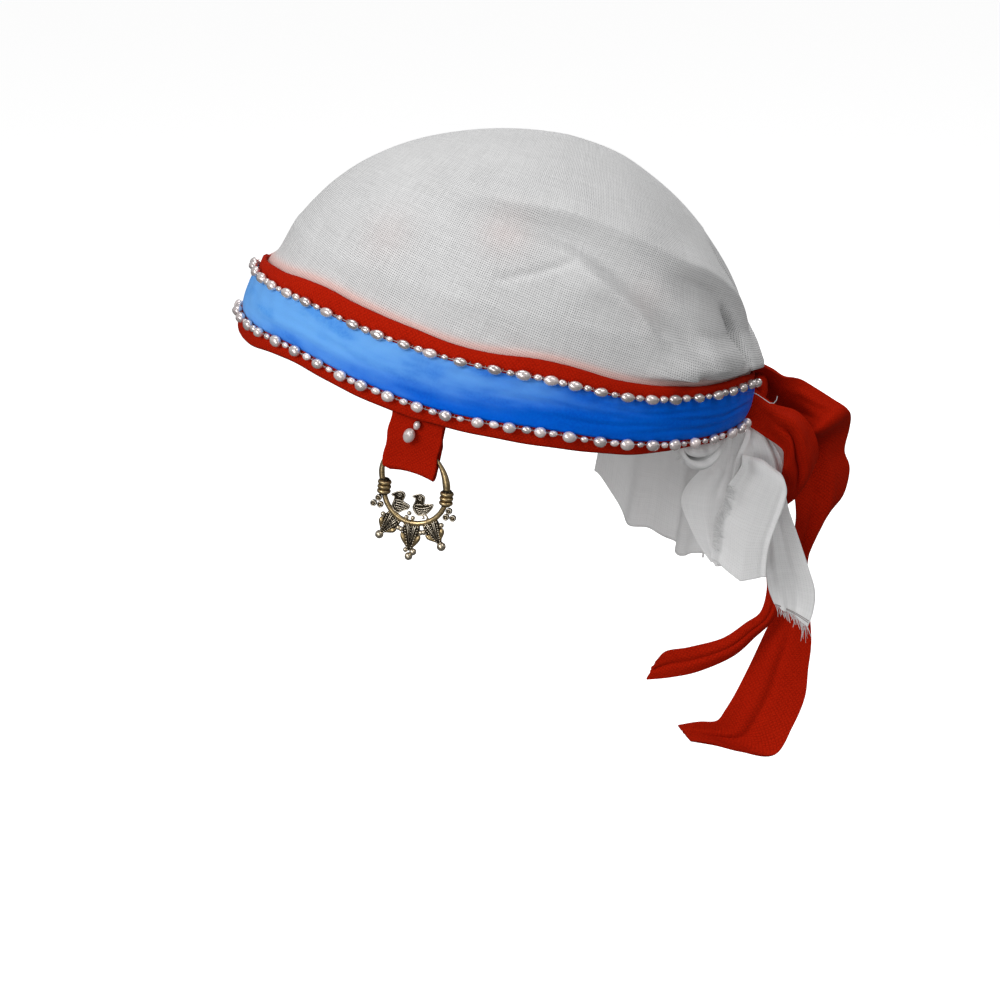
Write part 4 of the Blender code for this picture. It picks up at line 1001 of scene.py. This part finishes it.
for tie_name, rows, creases, lines, flat in (
        ("wide", TIE_WIDE_ROWS, [(0.62, 0.0, 0.34, -7.5, -0.2, 0.155), (0.22, 0.3, 0.07, 1.2, 0.10, 0.30),
                                 (0.60, 0.3, 0.08, -1.1, 0.12, 0.30), (0.30, 0.25, 0.10, 1.3, 0.34, 0.72),
                                 (0.74, -0.1, 0.09, -1.5, 0.36, 0.75), (0.25, 0.35, 0.08, -0.9, 0.62, 1.3),
                                 (0.9, -0.3, 0.10, 0.9, 0.62, 1.3)],
         240, (0.023, 0.235)),
        ("narrow", TIE_NARROW_ROWS, [(0.46, 0.35, 0.09, -3.0, 0.10, 0.46), (0.24, 0.3, 0.16, 1.6, 0.0, 0.44),
                                     (0.86, 0.0, 0.12, -1.2, 0.05, 0.30), (0.5, 0.0, 0.12, -0.9, 0.6, 1.3)],
         210, (0.013, 0.19))):
    tie = stretch_grid(f"tie_{tie_name}_wool", 28, lines, hanging_strip(rows, creases),
                       thread_counts(1000 * flat[0], 1000 * flat[1]), wall=TIE_WALL, wall_side=0.0)
    rim = tie.modifiers.new("felted_edge", "BEVEL")
    rim.width = TIE_EDGE_ROUND * MM
    rim.segments = 2
    rim.limit_method = "ANGLE"
    rim.angle_limit = math.radians(50)
    dress(tie, red_wool, "red_wool", f"tie_{tie_name}")

knot_bm = bmesh.new()
bmesh.ops.create_uvsphere(knot_bm, u_segments=48, v_segments=32, radius=1.0)
for vertex in knot_bm.verts:
    x, y, z = vertex.co
    wraps = math.sin(5.5 * (z + 0.35 * y)) + 0.5 * math.sin(11 * (z + 0.35 * y) + 1)
    swell = 0.93 + 0.05 * wraps * (1 - abs(x)) - 0.05 * (1 + math.sin(3 * math.atan2(z, y)))
    vertex.co = Vector((x * KNOT_RADII[0], y * KNOT_RADII[1], z * KNOT_RADII[2])) * swell + KNOT_MIDDLE
bmesh.ops.scale(knot_bm, vec=(MM, MM, MM), verts=knot_bm.verts)
knot_uv = knot_bm.loops.layers.uv.new("threads")
for face in knot_bm.faces:
    face.smooth = True
    for loop in face.loops:
        loop[knot_uv].uv = (loop.vert.co.y / MM, loop.vert.co.z / MM)
dress(finish_mesh("tie_knot_wool", knot_bm), red_wool, "red_wool", "tie_knot")

# ---------------------------------------------------------------------------------------------------
# The tab: a tape of the same red wool, doubled round the ring's hoop and sewn behind the band at the
# wearer's left temple, with two pearls sewn on it.
TAPE, TAPE_WIDTH, TUNNEL = 1.2, 20.2, 1.35     # its thickness and width, and its bend's inner radius
TAPE_DROP, TAPE_HIDDEN, TAB_AZIMUTH = 22.7, 8, 74
HOOP_DROP, HOOP_SIDE, HOOP_RISE = 29.0, -2.6, 16.5
BEHIND_BAND = WOOL + CLEARANCE + 1.9    # where the tape starts, with room for the linen before it
RING_LEAN, TAB_LEAN, TAB_SHIFT = 6.5, 5.9, -4.1         # degrees, degrees and mm
TAPE_NOTCH = 3.4                        # how much narrower the front of the tape is


def ring_matrix():
    """Where the ring's own frame lies, in mm: x along the band, z up, y toward the head."""
    foot = Vector(band_point(TAB_AZIMUTH, band_heights(np.float64(TAB_AZIMUTH))[0]))
    along = Vector(band_point(TAB_AZIMUTH + 1, 0.0)) - Vector(band_point(TAB_AZIMUTH - 1, 0.0))
    along.z = 0
    along.normalize()
    up = Vector((0, 0, 1))
    inward = up.cross(along)
    origin = foot + inward * (BEHIND_BAND + TAPE + TUNNEL) + along * HOOP_SIDE - up * HOOP_DROP
    turn = Matrix((along, inward, up)).transposed().to_4x4()
    return Matrix.Translation(origin) @ turn @ Matrix.Rotation(math.radians(RING_LEAN), 4, "Y")


ring_frame = ring_matrix()
hang = ring_frame @ Matrix.Translation(Vector((TAB_SHIFT, 0, 0))) @ Matrix.Rotation(
    math.radians(TAB_LEAN), 4, "Y")
FOLD_HEIGHT = HOOP_DROP - TAPE_DROP
CLEAR, CLOSED = TUNNEL + TAPE, TAPE + 0.15
tape_profile = [(-CLEAR, HOOP_DROP + TAPE_HIDDEN + (FOLD_HEIGHT + 12 - HOOP_DROP - TAPE_HIDDEN) * i / 4)
                for i in range(5)]
tape_profile += [(-CLEAR * math.cos(math.pi * i / 6), FOLD_HEIGHT + CLEAR - CLEAR * math.sin(math.pi * i / 6))
                 for i in range(1, 6)]
tape_profile += [(CLEAR, FOLD_HEIGHT + CLEAR + 4), (CLEAR, HOOP_RISE + 3),
                 (2 * CLOSED - CLEAR + 0.02, HOOP_RISE + 6),
                 (2 * CLOSED - CLEAR + 0.02, HOOP_DROP + TAPE_HIDDEN - 1)]


def along_profile(t):
    """Points along the tape's side view by its length, from behind the band round the hoop and back."""
    profile = np.array(tape_profile, float)
    lengths = np.concatenate([[0], np.cumsum(np.linalg.norm(np.diff(profile, axis=0), axis=1))])
    return [np.interp(t * lengths[-1], lengths, profile[:, i]) for i in (0, 1)] + [lengths[-1]]


def tape_cloth(s, t):
    y, z, _ = along_profile(t)
    notch = TAPE_NOTCH * ease(-CLEAR, -0.35 * CLEAR, y)
    x = TAPE_WIDTH / 2 - (TAPE_WIDTH - notch) * (1 - s)
    front = y < 0
    x = x + np.where(front, 0.25 * np.sin(0.6 * z + 1) * (2 * s - 1), 0)
    arch = 1.2 * (1 - (2 * s - 1) ** 2) * ease(0, 14 - FOLD_HEIGHT, 14 - z)
    y = y - np.where(front, 0.30 * np.sin(np.pi * s) * np.sin(0.35 * z), 0)
    local = np.stack([x, y, z + arch, np.ones_like(x)], -1)
    return (local @ np.array(hang).T)[:, :3]


tape_length = along_profile(np.zeros(1))[2]
tab = stretch_grid("ring_tab_wool", 30, 110, tape_cloth, thread_counts(TAPE_WIDTH, tape_length), wall=1.15,
                   wall_side=1.0)
dress(tab, red_wool, "red_wool", "ring_tab")

for pearl_name, x, z, radii in (("large", -3.2, 22.4, (2.9, 2.15, 2.1)),
                                ("small", -0.9, 26.5, (1.7, 1.3, 1.3))):
    spot = Vector((x, -(CLEAR + CLEARANCE + radii[2]), z))
    upright = Matrix.Rotation(math.radians(14), 4, "Y") @ Matrix.Rotation(math.radians(90), 4, "Y")
    place = ring_frame @ Matrix.Translation(spot) @ upright
    sewn = bmesh.new()
    add_pearl(sewn, place, radii, 0.75, chance, 24, 14)
    dress(finish_mesh(f"tab_pearl_{pearl_name}_sewn", sewn), pearl_finish, "freshwater_pearl",
          f"tab_pearl_{pearl_name}")

# ---------------------------------------------------------------------------------------------------
# The temple ring: a bronze hoop with wound collars, two small birds on its lower bow and three pointed
# drops below, all cut from sheet, edged with fine wire and granules, and soldered together.
HOOP_RADIUS = 11.9
ring_bm = bmesh.new()


def granule(x, z, radius, y=0.0, tone=0.85, fine=False):
    made = bmesh.ops.create_uvsphere(ring_bm, u_segments=12 if fine else 8, v_segments=8 if fine else 5,
                                     radius=radius, matrix=Matrix.Translation((x, y, z)))["verts"]
    paint(ring_bm, faces_of(made), tone)


def wire(points, radius, sides=8, closed=False, tone=0.7, y=0.0):
    """A wire of the ring through points of x, z and, where it isn't the same all along, y."""
    add_wire(ring_bm, [(p[0], p[2] if len(p) > 2 else y, p[1]) for p in points], radius, sides, closed, tone)


def circle(x, z, radius, count, thickness, sides, tone, y=0.0, plane="xz"):
    """A wire bent into a circle that faces forward (xz), lies flat (xy) or stands edge on (yz)."""
    points = []
    for k in range(count):
        one, other = (radius * turned(2 * math.pi * k / count) for turned in (math.cos, math.sin))
        points.append({"xz": (x + one, z + other, y), "xy": (x + one, z, y + other),
                       "yz": (x, z + one, y + other)}[plane])
    wire(points, thickness, sides, True, tone)


def cut_plate(outline, thickness, inset, rise):
    """A dark plate with the outline, its front face raised inside a paler slope."""
    face = ring_bm.faces.new([ring_bm.verts.new((x, -thickness / 2, z)) for x, z in outline])
    face.normal_update()
    if face.normal.y > 0:
        face.normal_flip()
    solid = bmesh.ops.extrude_face_region(ring_bm, geom=[face])
    moved = [item for item in solid["geom"] if isinstance(item, bmesh.types.BMVert)]
    bmesh.ops.translate(ring_bm, vec=(0, thickness, 0), verts=moved)
    shell = set(face.edges)
    slope = bmesh.ops.inset_region(ring_bm, faces=[face], thickness=inset, depth=rise, use_even_offset=True)
    paint(ring_bm, slope["faces"], 0.25)
    paint(ring_bm, {f for edge in shell for f in edge.link_faces} | faces_of(moved) | {face}, 0.0)
    face.smooth = False


def smooth_outline(points, count):
    """A closed smooth line through the points."""
    looped = np.array(list(points[-2:]) + list(points) + list(points[:2]), float)
    spots = (2 + np.arange(count) * len(points) / count) / (len(looped) - 1)
    return [tuple(p) for p in row_at(looped, spots)]


# The hoop: thick at its bottom, drawn thin to the arm that ends on the tab and the one that enters it.
hoop_points, hoop_radii = [], []
for i in range(72):
    turn = 2 * math.pi * i / 72
    over, side = math.sin(turn), math.cos(turn)
    bow = 7.0 * over * side if over > 0 > side else 0.0
    hoop_points.append((HOOP_RADIUS * side + bow, (HOOP_RISE if over > 0 else HOOP_RADIUS) * over))
    arm = (0.42 if side > 0 else 0.12) * float(ease(-0.1, 0.3, over))
    hoop_radii.append(1.0 + arm - (0.9 if side > 0 else 0.5) * float(ease(0.25, 1.0, over))
                      + 0.02 * math.sin(turn * 23))
wire(hoop_points, hoop_radii, 14, True, 0.8)
circle(-0.6, -HOOP_RADIUS, 1.0, 16, 0.09, 5, 0.0, plane="yz")
for side in (-1, 1):
    for i in range(3):
        circle(side * HOOP_RADIUS, 1.7 - i * 1.75, 1.75, 24, 0.84, 10, 0.72, plane="xy")
    for i in range(4):
        circle(side * HOOP_RADIUS, 2.55 - i * 1.7, 1.25, 20, 0.62, 6, 0.0, plane="xy")
    for x, z in ((13.5, -4.6), (12.6, -7.1), (15.2, -7.0)):
        granule(side * x, z, 1.2, tone=0.05, fine=True)
        circle(side * x, z, 0.95, 12, 0.30, 6, 1.0, y=-0.85)
        granule(side * x, z, 0.34, y=-1.1, tone=0.9)
for x, z in ((-1.3, -8.3), (-2.2, -10.0), (0.2, -9.9)):
    granule(x, z, 0.85, y=-0.35, tone=0.95, fine=True)

BIRD_ONE = [(-8.6, -2.4), (-7.6, -1.6), (-5.9, -0.7), (-4.2, -1.0), (-3.6, -2.2), (-4.0, -3.5), (-4.1, -4.4),
            (-1.7, -5.5), (-1.9, -6.7), (-4.0, -7.7), (-5.3, -8.7), (-7.0, -8.2), (-8.0, -6.7), (-7.5, -4.4),
            (-7.4, -3.1)]
BIRD_TWO = [(-0.6, -1.5), (0.4, -0.9), (2.0, -0.4), (3.7, -1.2), (3.9, -2.8), (3.9, -3.9), (7.2, -3.4),
            (6.6, -5.5), (4.6, -7.7), (2.4, -8.3), (0.7, -7.3), (-0.1, -5.5), (0.6, -3.2), (0.5, -2.2)]
for bird, eye, feathers, legs in (
        (BIRD_ONE, (-5.5, -1.9),
         [[(-6.9, -4.1), (-5.6, -3.9), (-4.4, -4.2)], [(-6.8, -4.9), (-4.6, -4.9), (-2.2, -5.7)],
          [(-6.9, -5.7), (-4.6, -5.9), (-2.1, -6.4)], [(-6.6, -6.6), (-4.6, -6.8), (-2.9, -6.9)],
          [(-6.1, -7.4), (-5.0, -7.6), (-4.1, -7.4)], [(-7.1, -4.4), (-7.4, -5.8), (-6.4, -7.4)]],
         [(-5.6, -8.4, -6.0, -9.9)]),
        (BIRD_TWO, (2.3, -1.8),
         [[(0.8, -4.6), (2.2, -4.1), (3.6, -4.2)], [(0.9, -5.4), (3.5, -5.5), (6.9, -3.9)],
          [(1.1, -6.2), (3.5, -6.4), (6.3, -5.0)], [(1.7, -7.0), (3.9, -7.1), (5.6, -5.9)],
          [(2.2, -7.6), (3.4, -7.8), (4.6, -7.1)], [(0.5, -4.9), (0.5, -6.2), (1.5, -7.4)]],
         [(3.6, -8.0, 4.4, -9.3), (4.6, -7.7, 6.0, -9.2)])):
    outline = smooth_outline(bird, 46)
    cut_plate(outline, 1.1, 0.22, 0.10)
    wire(outline, 0.25, 6, True, 1.0, y=-0.58)
    circle(*eye, 0.66, 12, 0.17, 6, 1.0, y=-0.78)
    granule(*eye, 0.24, y=-0.72, tone=1.0)
    for line in feathers:
        wire([tuple(point) for point in row_at(line, np.linspace(0, 1, 8))], 0.17, 6, tone=1.0, y=-0.74)
    for x1, z1, x2, z2 in legs:
        wire([(x1, z1), ((x1 + x2) / 2 + 0.1, (z1 + z2) / 2), (x2, z2), (x2 - 0.7, z2 - 0.1)], 0.30, 6,
             tone=0.9)

# Each drop: its turn, how far below the hoop's middle it reaches, and the balls at its tip (x, z, radius).
for degrees, length, tips in ((-32.5, 22.0, [(0, -0.2, 1.6)]),
                              (0, 23.6, [(0, -1.3, 1.5), (-1.4, 1.0, 0.95), (1.45, 0.7, 1.35)]),
                              (32.5, 22.0, [(0, -0.2, 1.7)])):
    lean = Matrix.Rotation(math.radians(degrees), 2)

    def leaned(points):
        return [tuple(lean @ Vector(p[:2])) + tuple(p[2:]) for p in points]

    kite = [(-3.3, -15.2), (-2.9, -11.6), (2.9, -11.6), (3.3, -15.2), (0.7, 1 - length), (-0.7, 1 - length)]
    cut_plate(leaned(kite), 0.9, 0.15, 0.05)
    foot = 1.9 - length
    for side in (-1, 1):
        almond = [(side * (3.55 - 2.55 * f), -15.9 + (foot + 15.9) * f) for f in np.linspace(0, 1, 14)]
        wire(leaned(almond), [0.10 + 1.05 * math.sin(math.pi * f ** 0.72) ** 1.1 * (1 - 0.45 * f)
                              for f in np.linspace(0, 1, 14)], 12, tone=0.80, y=-0.30)
        granule(*leaned([(side * 3.75, -14.9)])[0], 0.98, y=-0.3, tone=0.95, fine=True)
        granule(*leaned([(side * 2.5, -13.0)])[0], 0.50, y=-0.55, tone=0.95)
        for k in range(9):
            f = k / 8
            granule(*leaned([(side * (2.35 - 1.85 * f), -14.2 + (foot + 13.6) * f)])[0], 0.30, y=-0.65,
                    tone=1.0)
        for offset in (0.0, 0.75):
            wire(leaned([(side * (1.75 - offset), -12.4), (side * 0.22, -19.2 + 2.2 * offset)]), 0.17, 6,
                 tone=1.0, y=-0.62)
    wire(leaned([(-3.0, -12.2), (0, -12.6), (3.0, -12.2)]), 0.24, 6, tone=0.85, y=-0.55)
    for k in range(3):
        granule(*leaned([(0.0, -13.4 - 1.1 * k)])[0], 0.30 - 0.05 * k, y=-0.60, tone=1.0)
    for x, z, radius in tips:
        granule(*leaned([(x, z - length)])[0], radius, tone=0.95, fine=True)

bmesh.ops.transform(ring_bm, matrix=Matrix.Scale(MM, 4) @ ring_frame, verts=ring_bm.verts)

aged_bronze, tree, shader = new_finish("aged_bronze", 0.34, 1.0)
tone = add_node(tree, "Attribute", attribute_name="tint")
place = object_place(tree)
patina, scuffs = noise_node(tree, place, 0.45, 4.0, 0.6), noise_node(tree, place, 2.2, 3.0, 0.65)
clean = remap(tree, patina.outputs["Fac"], 0.25, 0.7, 0.45, 1.0)
worn = math_node(tree, "MULTIPLY", tone.outputs["Fac"], clean)
colour = mix_colours(tree, worn, (0.022, 0.017, 0.012), (0.74, 0.55, 0.28))
colour = shows_through(tree, colour, tone, 0.84, 1.0, 0.75, (0.66, 0.62, 0.54))
colour = shows_through(tree, colour, scuffs, 0.55, 0.75, 0.5, (0.85, 0.68, 0.40))
tree.links.new(colour, shader.inputs["Base Color"])
tree.links.new(remap(tree, worn, 0.1, 0.9, 0.58, 0.24), shader.inputs["Roughness"])
bump(tree, shader, math_node(tree, "ADD", patina.outputs["Fac"],
                             math_node(tree, "MULTIPLY", scuffs.outputs["Fac"], 0.4)), 0.12, 0.6)
dress(finish_mesh("temple_ring_bronze", ring_bm), aged_bronze, "aged_bronze", "temple_ring")
